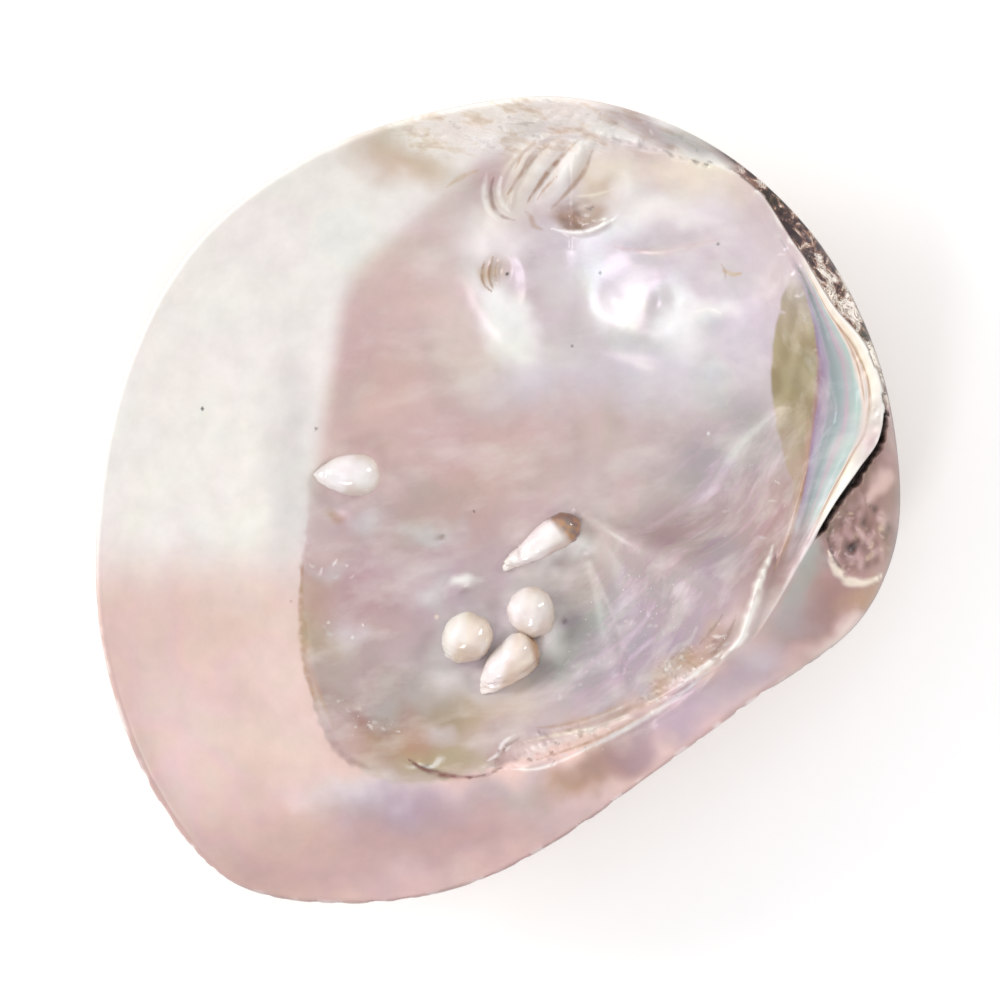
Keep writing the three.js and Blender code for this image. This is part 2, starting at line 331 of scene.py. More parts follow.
# Growth folds of the upper lining, which catch the light: path, height, half width.
FOLDS = [
    ([(17, 30), (24, 27.6), (33, 27), (42, 31.5)], 0.5, 2.4),
    ([(22, 46.6), (30, 46), (40, 48.4)], -0.45, 1.8),
    ([(29, 41), (29.4, 36), (27.6, 31)], -0.55, 1.9),
    ([(17, 40), (21, 36.6), (23.4, 32)], 0.4, 2.2),
    ([(33.6, 37), (36.6, 33), (38, 29)], 0.45, 2.4),
    ([(-5, 45), (-4.2, 39), (-1.5, 34), (2, 30), (5, 27)], 0.6, 2.2),
    ([(2, 47.4), (4.6, 43), (5, 38.6), (4, 35)], 0.4, 1.6),
    ([(11, 19), (17, 16.6), (22, 12.4)], 0.3, 2.4),
]


def near_line(path, x, y, within, step=0.5):
    """As nearest_on, but only close to the line, and with the line's length."""
    line = smooth_line(path, step=step)
    low = line.min(axis=0) - within
    high = line.max(axis=0) + within
    close = (x > low[0]) & (x < high[0]) & (y > low[1]) & (y < high[1])
    off = np.full(x.shape, 1e9)
    along = np.zeros(x.shape)
    off[close], along[close] = nearest_on(line, x[close], y[close])
    return off, along, np.hypot(*np.diff(line, axis=0).T).sum()


def ridge(path, x, y, height, width):
    off, along, length = near_line(path, x, y, 4 * width)
    taper = ease(0, 3 * width, along) * ease(0, 3 * width, length - along)
    return height * np.exp(-np.minimum(off / width, 9) ** 2) * mix(0.1, 1, taper)


def mound(x, y, place):
    cx, cy, along, across, turn, height = place
    c, s = math.cos(math.radians(turn)), math.sin(math.radians(turn))
    u = ((x - cx) * c + (y - cy) * s) / along
    v = ((y - cy) * c - (x - cx) * s) / across
    return height * hill(np.hypot(u, v), 0, 1.0)


def hind_share(s):
    """1 beside the hind end, where the pallial line is a sharp step."""
    turned = np.where(s.angle > 60, s.angle - 360, s.angle)
    return between(-190, -174, -92, -84, turned)


def pallial_step(s):
    """The lining inside the pallial line lies a little deeper: a soft step in front and a
    sharper one at the hind end."""
    depth = np.where(s.outside, 0, s.off_crest)
    front = 1 - ease(-178, -160, np.where(s.angle > 90, s.angle - 360, s.angle))
    soft = 0.5 * between(0, 7, 7, 30, depth) * front
    sharp = 0.22 * between(0, 2.2, 2, 20, depth) * hind_share(s)
    return -(soft + sharp)


def front_scar(s):
    """Scar of the front closing muscle: an oval hollow with nested growth ovals in it."""
    hollow = -0.9 * ease(1.16, 0.84, np.hypot((s.x - 9.5) / 13, (s.y - 58.8) / 9.6))
    ovals = [mound(s.x, s.y, place) for place in SCAR_OVALS]
    ridges = [ridge(line, s.x, s.y, tall, wide) for line, tall, wide in SCAR_RIDGES]
    crescent = ridge([(-1.5, 59.4), (-1.7, 56), (-0.4, 53), (2.4, 51.6)], s.x, s.y, -0.4, 0.9)
    pit = mound(s.x, s.y, (14.3, 52.7, 5.2, 3.2, 0, -1.2))
    rough = 0.45 * ripple(s.x, s.y, 2.1, 11) * mound(s.x, s.y, (14.2, 52.8, 5, 3.4, 0, 1))
    return hollow + np.maximum.reduce([*ovals, *ridges]) + crescent + pit + rough


def foot_scar(s):
    """A small crescent scar with ribs down its middle."""
    pit = mound(s.x, s.y, (-0.7, 42.3, 3.1, 4.1, -12, -0.8))
    rib = ridge([(-1.2, 45), (-2.2, 42.5), (-1.8, 39.4)], s.x, s.y, 0.4, 0.35)
    second = ridge([(0, 44.8), (-0.7, 42.4), (-0.4, 39.8)], s.x, s.y, 0.35, 0.35)
    return pit + rib + second


def hind_scar(s):
    ridges = [ridge(line, s.x, s.y, tall, wide) for line, tall, wide in HIND_SCAR_RIDGES]
    oval = mound(s.x, s.y, (6.6, -46.3, 7, 3.2, 12, 0.8))
    cleft = ridge([(-17, -47.9), (-13, -49.6), (-7, -50.9), (-1, -50.2)], s.x, s.y, -0.9, 0.7)
    flaky = mound(s.x, s.y, (33, -30, 11, 4, 42, 1)) + mound(s.x, s.y, (8, -45, 13, 4, 14, 1))
    flakes = 0.42 * np.abs(ripple(s.x, s.y, 2.4, 23)) * flaky
    return np.maximum.reduce(ridges) + oval + cleft + flakes


def lining_waves(s):
    """The upper lining is laid in slow waves and folds, the rest is nearly even."""
    wavy = mound(s.x, s.y, (25, 36, 44, 34, -15, 1))
    slow = 0.36 * wavy * ripple(s.x, s.y + 0.35 * s.x, 17, 3)
    even = 0.10 * ripple(s.x, s.y, 12, 5)
    folds = sum(ridge(line, s.x, s.y, tall, wide) for line, tall, wide in FOLDS)
    wrinkled = mound(s.x, s.y, (22, -24, 26, 13, 40, 1))
    lengthwise = s.x * 0.77 + s.y * 0.64
    crosswise = (s.y * 0.77 - s.x * 0.64) * 3
    wrinkles = 0.035 * wrinkled * ripple(lengthwise, crosswise, 6, 7)
    return slow + even + folds + wrinkles


def front_ledge(s):
    """Inner nacre ends in a ragged step short of the front edge."""
    ragged = 0.5 * ripple(s.x, s.y, 6.5, 31) + 0.25 * ripple(s.x, s.y, 1.9, 32)
    edge = (s.y - 63.4) + 0.30 * (s.x - 30) + ragged
    share = between(16, 22, 40, 47, s.x)
    ledge = -0.8 * ease(-0.5, 0.6, edge) * share * ease(0, 3, 73 - s.y)
    crumple = 0.22 * np.abs(ripple(s.x, s.y, 3.4, 33)) * front_edge_share(s)
    return ledge + crumple


def front_edge_share(s):
    """The strip along the front edge where outer layers show, split and flaked."""
    ends = between(-24, -14, 40, 48, s.x)
    return ends * ease(61.5, 65, s.y) * (1 - 0.5 * ease(14, 24, s.x))


def hinge_teeth(s):
    teeth = [ridge(line, s.x, s.y, tall, wide) for line, tall, wide in TOOTH_RIDGES]
    return np.maximum.reduce(teeth)


def across_plate(s):
    """0 at the crest, 1 at the inner edge of the plate, more below it."""
    beyond = np.interp(s.y, *PLATE_EDGE) - s.x
    on_plate = s.off_crest / np.maximum(s.off_crest + np.maximum(-beyond, 0), 0.1)
    return on_plate + np.maximum(beyond, 0) / 8


def hinge_plate(s):
    """Long growth steps run down the hinge plate, which is hollowed between its edges."""
    share = np.clip(across_plate(s), 0, 1)
    on = hinge_share(s.crest_angle) * ease(-24, -10, s.crest_angle)
    hollow = -0.9 * np.sin(math.pi * share)
    steps = 0.09 * np.sin(share * 24 + 1.6 * ripple(s.x, s.y, 14, 41))
    flaky = 0.16 * ripple(s.x, s.y, 3, 43) * ease(0.5, 0.1, share)
    return np.where(s.outside, 0, on * (hollow + steps + flaky) * ease(0, 0.12, share))


def cleft_share(s):
    """Cleft under the hinge lip, ragged along both sides."""
    length = between(-9, -3, 16, 23, s.crest_angle)
    width = 0.6 + 0.6 * hill(s.crest_angle, 6, 10) + 0.35 * ripple(s.x, s.y, 4.6, 55)
    width += 0.14 * ripple(s.x, s.y, 1.5, 56)
    return np.where(s.outside, length * ease(width + 0.5, width - 0.4, s.off_crest), 0)


def beak_relief(s):
    """Outside: crusted lumps on the worn beak, the cleft, flaking skin along the hinge."""
    outside = np.where(s.outside, 1.0, 0.0)
    crust = mound(s.x, s.y, (64.5, -6.5, 8, 8.4, 20, 1.0)) ** 0.6
    lumps = crust * (0.5 + 0.8 * ripple(s.x, s.y, 6, 51) + 0.4 * ripple(s.x, s.y, 2.4, 52))
    swell = mound(s.x, s.y, (67.5, 2, 7, 13, 0, 1.0))
    rim = ridge([(59.6, -8.6), (61.4, -12.6), (65, -14.6), (69.4, -13.8)], s.x, s.y, 0.7, 0.9)
    skin = between(14, 24, 58, 64, s.angle)
    flakes = (0.5 * ripple(s.x, s.y, 2.8, 53) + 0.3) * skin * ease(0, 1, s.off_crest)
    cleft = -5.5 * cleft_share(s)
    return outside * (lumps + swell + rim + cleft + flakes) * ease(1, 0.93, s.across)


def top_height(s):
    """The side that looks up: lining, hinge, free band and the beak's overhang."""
    inner = inside_height(s) + hinge_teeth(s) + hinge_plate(s)
    outer = band_height(s) + beak_relief(s)
    height = np.where(s.outside, outer, inner)
    relief = pallial_step(s) + front_scar(s) + foot_scar(s) + hind_scar(s)
    relief += lining_waves(s) * np.where(s.outside, 0.3, 1) + front_ledge(s)
    for place in BLISTERS:
        relief += mound(s.x, s.y, place)
    near_edge = ease(0, 4, s.inset)
    return height + relief * near_edge


def shell_age(s):
    """Growth rests passed, told from the beak outwards, crowding towards the free edge."""
    return YEARS * s.growth ** 1.5 + 0.1 * ripple(s.x, s.y, 24, 61)


def growth_steps(s):
    """Growth lines of the back: a low step for each rest, with fainter ones between them."""
    age = shell_age(s)
    rests = 0.16 * np.sin(math.tau * age)
    fine = 0.05 * np.sin(math.tau * 5.2 * age)
    return (rests + fine) * ease(0, 4, s.inset)


def under_height(s):
    """The side that looks down: the rounded back, flat where it rests."""
    height = back_height(s.angle, s.out)
    relief = growth_steps(s) * ease(0.5, 3, height)
    return np.maximum(0, height + relief)


# ---- Pearls -------------------------------------------------------------------------

# Body in plan, radius, point it tapers to, height of its middle above the lining, how
# sharply it tapers, how lumpy it is, tint.
PEARLS = [
    ((-26.2, 4.8), 4.0, (-34.4, 4.9), 1.2, 1.5, 0.03, "bone"),
    ((5.6, -20.3), 4.4, (8.0, -25.0), 1.5, 1.0, 0.045, "bone"),
    ((-6.0, -25.1), 4.6, (-10.0, -28.6), 1.4, 1.0, 0.035, "cream"),
    ((3.4, -28.4), 3.9, (-4.0, -35.2), 1.1, 1.45, 0.07, "cream"),
    ((11.9, -4.9), 3.1, (0.4, -12.7), 0.4, 1.35, 0.09, "milk"),
]
STAINED_PEARL = 3
CAPPED_PEARL = 4
PEARL_SIDES = 44
PEARL_ROWS = 26  # rows of points on each half


def pearl_form(radius, length, taper, lumpy, seed):
    """A drop about +Y: half a ball behind its middle, drawn out to the tip in front."""
    verts = []
    for row in range(1, PEARL_ROWS * 2):
        turn = math.pi / 2 * (row / PEARL_ROWS - 1)
        if turn < 0:
            wide, up = radius * math.cos(turn), radius * math.sin(turn)
        else:
            wide, up = radius * math.cos(turn) ** taper, length * math.sin(turn)
        for side in range(PEARL_SIDES):
            way = math.tau * side / PEARL_SIDES
            verts.append((wide * math.cos(way), up, wide * math.sin(way)))
    verts = np.array([(0, -radius, 0), *verts, (0, length, 0)])
    across = verts[:, 0] + 0.7 * verts[:, 2]
    lengthwise = verts[:, 1] - 0.6 * verts[:, 2]
    lump = ripple(across, 0.5 * lengthwise, 4.4, seed) + 0.4 * ripple(across, lengthwise, 2, seed)
    verts *= (1 + lumpy * lump)[:, None]
    faces = []
    last = len(verts) - 1
    rows = PEARL_ROWS * 2 - 1
    for side in range(PEARL_SIDES):
        turned = (side + 1) % PEARL_SIDES
        faces.append((0, 1 + side, 1 + turned))
        for row in range(rows - 1):
            a = 1 + row * PEARL_SIDES
            b = a + PEARL_SIDES
            faces.append((a + side, b + side, b + turned, a + turned))
        top = 1 + (rows - 1) * PEARL_SIDES
        faces.append((top + side, last, top + turned))
    return verts, faces


# ---- Tints of the nacre -------------------------------------------------------------

NACRE_TINTS = {
    "white_glint": "ffffff", "milk": "f8f5f3", "bone": "ebe7e2", "cream": "e9dccc",
    "blush": "e3d0c8", "shell_pink": "d9bcb3", "rose": "c7a7a2", "old_rose": "af8f8b",
    "rosewood": "94726a", "lilac": "cfc7d2", "mauve": "b9a6b0", "grape": "9c8c9e",
    "plum": "937c98", "dusk": "a39dab", "silver": "c8c3c4", "pearl_sheen": "d2d3d8",
    "pearl_grey": "a9a0a1", "slate": "8b9699", "mist": "9aa3a6", "sea_mist": "aab5b3",
    "sage": "9a9d97", "sea": "a9bbb8", "khaki": "aa9f7c", "olive": "8f825c",
    "sand": "c9b199", "tan": "ac8a70", "amber": "ad7a46", "umber": "7b5f53",
    "wine": "7a4743", "bark": "4a3b35", "black_skin": "272020",
    # growth lines of the back, laid over its own tint
    "rest_brown": "8d6f62", "rest_tan": "c9aa9b", "line_green": "d9d6c9", "line_pink": "d8bfb8",
}

WASH_SPREAD = 1.15  # a wash fades out this much past its radii

# Washes of tint: middle, radii, turn in degrees, tint, strength.
BAND_WASHES = [
    # hind end, from the pallial line out to the edge
    (-38.5, 6, 6, 32, 0, "silver", 0.6), (-40, -36, 11, 24, 10, "blush", 0.4),
    (-58, -44, 20, 30, 12, "rose", 0.75),
    (-58, -60, 28, 16, -38, "rose", 0.7), (-38, -67, 36, 10, -4, "rose", 0.8),
    (-38, -70, 30, 6, -6, "old_rose", 0.55), (-52, -38, 16, 14, 0, "shell_pink", 0.6),
    # lilac and grey strip under the hind scar
    (-20, -55, 22, 5.5, -4, "lilac", 0.8), (-14, -57.5, 17, 7, 0, "grape", 0.9),
    (-2, -61, 34, 12, 14, "mauve", 0.95), (2, -54, 13, 5, 8, "pearl_grey", 0.8),
    (-10, -61, 32, 9, 4, "old_rose", 0.8), (-20, -58, 14, 5, 0, "grape", 0.5),
    (-2, -67, 22, 5, 18, "rose", 0.6), (-28, -63, 30, 8, 0, "old_rose", 0.4),
    (-60, -44, 14, 15, 0, "rose", 0.4),
    # along the straight lower edge
    (14, -51.5, 10, 3.2, 18, "tan", 0.8), (21, -47, 13, 4.6, 30, "rosewood", 0.95),
    (24, -48, 9, 2.4, 34, "wine", 0.25),
    (32, -40, 18, 7, 33, "grape", 0.8), (45, -32, 16, 6.4, 33, "mauve", 0.9),
    (49, -27.5, 8, 3.6, 30, "lilac", 0.5),
    # front edge, where the outer layers show
    (-18, 62.5, 12, 5.5, -12, "sand", 0.9), (-21, 65, 8, 4, 10, "khaki", 0.3),
    (-7, 68, 13, 5, 8, "cream", 0.9), (3.4, 70, 4.6, 4.6, 0, "khaki", 0.5),
    (13, 71.4, 15, 3, 0, "shell_pink", 0.7), (11, 68, 9, 2.6, 0, "rose", 0.5),
    (28, 68, 15, 4.6, -24, "pearl_grey", 0.95), (27, 68, 12, 2.6, -22, "rosewood", 0.6),
    (34, 65.4, 11, 2, -30, "grape", 0.7),
    (36, 65, 9, 3, -32, "sage", 0.8), (40, 62.6, 8, 1.8, -38, "umber", 0.7),
]

BASIN_WASHES = [
    # soft pale fringe inside the pallial line
    (-32, 26, 5, 32, -4, "shell_pink", 0.8), (-20, 47, 22, 8, 38, "blush", 0.7),
    # warm floor
    (-23, 22, 17, 29, -8, "rose", 0.85), (-16, 40, 14, 12, 30, "shell_pink", 0.6),
    (-20, 16, 14, 16, 0, "shell_pink", 0.5),
    (-5, 7, 20, 15, 0, "rose", 0.85), (-13, -8, 28, 12, 0, "old_rose", 0.6),
    (-28, -16, 13, 8, 0, "old_rose", 0.6), (-15, -21, 19, 17, 0, "mauve", 0.9),
    (-22, -22, 10, 12, 0, "old_rose", 0.5),
    (8, 14, 18, 13, 0, "rose", 0.35), (-24, -17, 10, 6, 0, "old_rose", 0.5),
    # hind end of the floor
    (-35, -29, 6, 22, 3, "tan", 0.9), (-27, -34, 16, 10, -20, "pearl_grey", 0.75),
    (-12, -37, 22, 7, -10, "khaki", 0.6), (-8.6, -41, 11, 5.6, -6, "olive", 0.75),
    (-24, -40.5, 15, 5, -15, "rosewood", 0.9), (-19, -46, 16, 8, -6, "tan", 0.95),
    (-20, -35, 16, 6, -14, "pearl_grey", 0.8),
    (-9, -48, 12, 4.4, 0, "khaki", 0.8), (-11, -44, 5, 2.6, -8, "silver", 0.7),
    (1, -39, 12, 7, 0, "sand", 0.6), (-8, -33, 9, 4.6, -22, "silver", 0.8),
    # grey green and lilac streaks of the hind wall
    (0, -18, 13, 15, 0, "mauve", 0.7), (14, -25, 14, 16, 24, "sage", 0.95),
    (28, -14, 30, 9, 42, "pearl_grey", 0.95), (22, -20, 26, 5, 42, "sage", 0.9),
    (38, -17, 24, 7.5, 46, "old_rose", 1.0), (33, -22, 20, 5, 40, "grape", 0.8),
    (24, -29, 20, 8, 30, "grape", 0.85), (8, -39, 14, 4.5, 18, "mauve", 0.7),
    (20, -34, 13, 4, 28, "mauve", 0.5), (17, -40.5, 16, 3, 22, "rose", 0.8),
    (30, -16, 13, 7, 42, "rosewood", 0.4), (24, -38, 9, 4, 30, "old_rose", 0.7),
    (25, -31, 9, 4, 36, "grape", 0.5), (16, -16, 9, 6, 20, "old_rose", 0.5),
    (-25, -33, 10, 8, 0, "old_rose", 0.5), (4, -48, 8, 3, 8, "old_rose", 0.5),
    # hind scar
    (8, -46.0, 7.4, 3.2, 12, "blush", 0.7), (22, -42, 13, 2.4, 26, "silver", 0.5),
    (13, -47.4, 10, 2.2, 14, "pearl_grey", 0.6), (22, -40, 8, 2.4, 28, "tan", 0.5),
    (0.4, -48, 4.4, 3.4, 20, "rosewood", 0.8), (16, -37, 16, 3, 26, "mauve", 0.7),
    (36, -28, 8, 3.6, 42, "tan", 0.95), (29.5, -33, 4.6, 3, 42, "tan", 0.85),
    (41, -25.4, 5, 2.6, 45, "umber", 0.5),
    # under the hinge
    (42, 2, 16, 18, 20, "pearl_grey", 1.0), (43, -4, 11, 18, -16, "grape", 0.9),
    (49, -5, 8, 15, -12, "old_rose", 1.0), (49, -8, 6, 12, -16, "rosewood", 0.6),
    (30, -17, 18, 6, 36, "grape", 0.7),
    (47, 12, 8, 12, 0, "pearl_grey", 0.9), (34, -6, 17, 9, 30, "old_rose", 0.8),
    (46.6, 6, 2.4, 3, 0, "grape", 0.6), (44, 17, 5, 7, 0, "sage", 0.5),
    (51, 22, 3.6, 15, 0, "pearl_grey", 0.5), (54, -2, 5, 10, -12, "rosewood", 0.6),
    (47, 0, 8, 9, 0, "old_rose", 0.6),
    # bright upper lining, lilac and silver, with painted highlights
    (24, 44, 44, 26, -8, "lilac", 0.6), (38, 28, 20, 16, 0, "silver", 0.85),
    (44, 34, 13, 22, 10, "lilac", 0.7), (16, 24, 20, 8, 10, "lilac", 0.6),
    (2, 22, 9, 9, 0, "lilac", 0.6), (-6, 32, 8, 16, 20, "blush", 0.6),
    # painted highlights: the milk patches at (-1, 36), (-2, 49), (1.4, 34) and (30, 53), and the
    # white glints at (22, 36) and (33, 31.6)
    (-1, 36, 6.5, 13, 22, "milk", 0.95), (-2, 49, 9, 5, 0, "milk", 0.85),
    (1.4, 34, 3, 9, 24, "milk", 0.9),
    (22, 36, 9, 5, 38, "white_glint", 0.95), (33, 31.6, 6, 7, 0, "white_glint", 0.95),
    (5, 30, 5, 4, 30, "milk", 0.8), (38, 35, 7, 3, 10, "milk", 0.7),
    (30, 53, 18, 4.8, 6, "milk", 0.7), (34, 60, 17, 5, -8, "cream", 0.9),
    (13, 38, 8, 8, 0, "bone", 0.4), (14, 30, 9, 7, 0, "silver", 0.6),
    (28, 26, 16, 12, 0, "pearl_sheen", 0.6), (20, 44, 18, 9, 0, "pearl_sheen", 0.6),
    (4, 28, 8, 8, 0, "milk", 0.35),
    # front scar and foot scar
    (6, 60, 13, 9, 45, "blush", 0.95), (5, 60, 9, 5, 52, "sand", 0.7),
    (7.6, 61, 8.4, 2.6, 52, "bone", 1.0), (18.6, 59, 7.4, 6.4, 20, "cream", 0.8),
    (19, 57.4, 5, 2.6, 10, "sand", 0.6),
    (11.9, 60.2, 8.6, 2.9, 53, "milk", 1.0), (3.8, 60.4, 7, 1.8, 56, "cream", 0.8),
    (18, 62.6, 4, 4.6, 0, "cream", 0.6), (14.3, 52.9, 5.2, 3.2, 0, "tan", 0.95),
    (24, 57, 5, 4, 0, "milk", 0.6), (4, 57, 6, 6, 0, "bone", 0.4),
    (14.6, 51.8, 3.4, 1.6, 0, "umber", 0.6),
    (-3, 60.6, 5, 4, 0, "rose", 0.5), (-0.9, 42.3, 3.4, 4.4, -12, "sand", 0.9),
    # blisters, and pale halos round the pearls
    (-30.3, -3.8, 2.6, 2.4, 0, "tan", 0.9), (-23.4, -4.6, 5, 3.4, 10, "silver", 0.8),
    (-12, -5.6, 7.4, 3.2, 0, "silver", 0.9), (-10.7, -5.5, 1.5, 1.0, 0, "umber", 0.8),
    (-12.4, -17.4, 4.4, 3.2, 10, "silver", 0.8), (-7.3, -16.2, 2.6, 1.8, 25, "milk", 0.9),
    (-27, -24.4, 5, 2.2, -10, "lilac", 0.45), (-32, -12.6, 5, 2, 0, "silver", 0.5),
    # round the pearls: the silver, lilac and milk washes are a pale nacre halo, laid brighter as
    # painted light that lifts the shade beside the pearls
    (5.6, -20.6, 8, 7.4, 0, "silver", 0.9), (-6, -25.4, 7.6, 7, 0, "lilac", 0.8),
    (1.4, -30, 9, 6, 42, "silver", 0.95), (1, -24.6, 5, 5, 0, "milk", 0.8),
    (8.8, -25.6, 4, 5, 20, "milk", 0.9), (-27, 4.6, 7.4, 5.8, 0, "blush", 0.8),
    (13.6, -8.8, 5, 3.2, 30, "milk", 0.95), (8, -10.2, 8, 3.6, 35, "milk", 0.8),
    (10.9, -21.9, 1.3, 1.2, 0, "bark", 0.9), (-14.4, -48.5, 3, 0.9, 10, "bone", 0.9),
]

# Chalky flakes left by the scars and by the grinding: how many, middle, radii, turn, tints.
FLAKE_PLACES = [
    (44, (9, -45.4), (12, 3), 14, ("bone", "silver", "umber", "rosewood")),
    (46, (34, -30), (11, 3.2), 42, ("bone", "silver", "rosewood", "umber")),
    (30, (20, -28), (13, 5), 38, ("silver", "lilac")),
    (12, (-25, -40), (7, 2.6), -20, ("bone", "silver", "rosewood")),
    (22, (58, 18), (1.0, 22), 0, ("bone", "rose", "umber")),
    (26, (66.4, 22), (2.2, 9), 10, ("milk", "tan", "umber")),
    (30, (64.5, -6.5), (6, 7), 0, ("rose", "umber", "bark", "sand")),
    (34, (-2, 66.4), (15, 3.4), 6, ("milk", "milk", "sand")),
    (22, (28, 67), (15, 2.4), -26, ("milk", "silver", "bark")),
    (12, (51, 42), (4, 11), 24, ("milk", "silver")),
    (10, (14.4, 52.8), (4, 2.4), 0, ("milk", "umber", "rose")),
    (10, (46, -1), (5, 9), -14, ("silver", "bone")),
    (8, (-28, -24), (5, 2), -6, ("silver", "milk")),
    (8, (-31, -13), (5, 1.6), -6, ("silver", "milk")),
]

BEAK_WASHES = [
    (69, 4, 8, 13, 0, "old_rose", 0.95), (70, 3, 6, 10, 0, "rosewood", 0.95),
    # the shell pink spot at (68, 1.6) is a painted highlight on the swell of the beak
    (71.6, -5, 4, 10, 0, "umber", 0.6), (68, 1.6, 2.6, 4.4, -12, "shell_pink", 0.7),
    (67, 9, 4, 5, 30, "rosewood", 0.8), (64, -6.6, 7.6, 8.4, 20, "rosewood", 0.95),
    (67.6, -7, 4, 5, 0, "rosewood", 0.5), (61.4, -3, 3, 4.6, -30, "umber", 0.9),
    (63, -8.6, 3.4, 2.6, 0, "grape", 0.6), (60, -20, 14, 7, 32, "rosewood", 0.75),
    (56.4, -10.4, 3.6, 9.4, -28, "sage", 1.0), (53, -17.4, 4.4, 6, -36, "sage", 0.8),
    (52, -22, 8, 6, 30, "pearl_grey", 0.8), (66, -19, 7, 3.6, 35, "tan", 0.8),
    (57, -27, 12, 3, 34, "rose", 0.8), (64, -23.6, 9, 2.2, 32, "blush", 0.7),
]

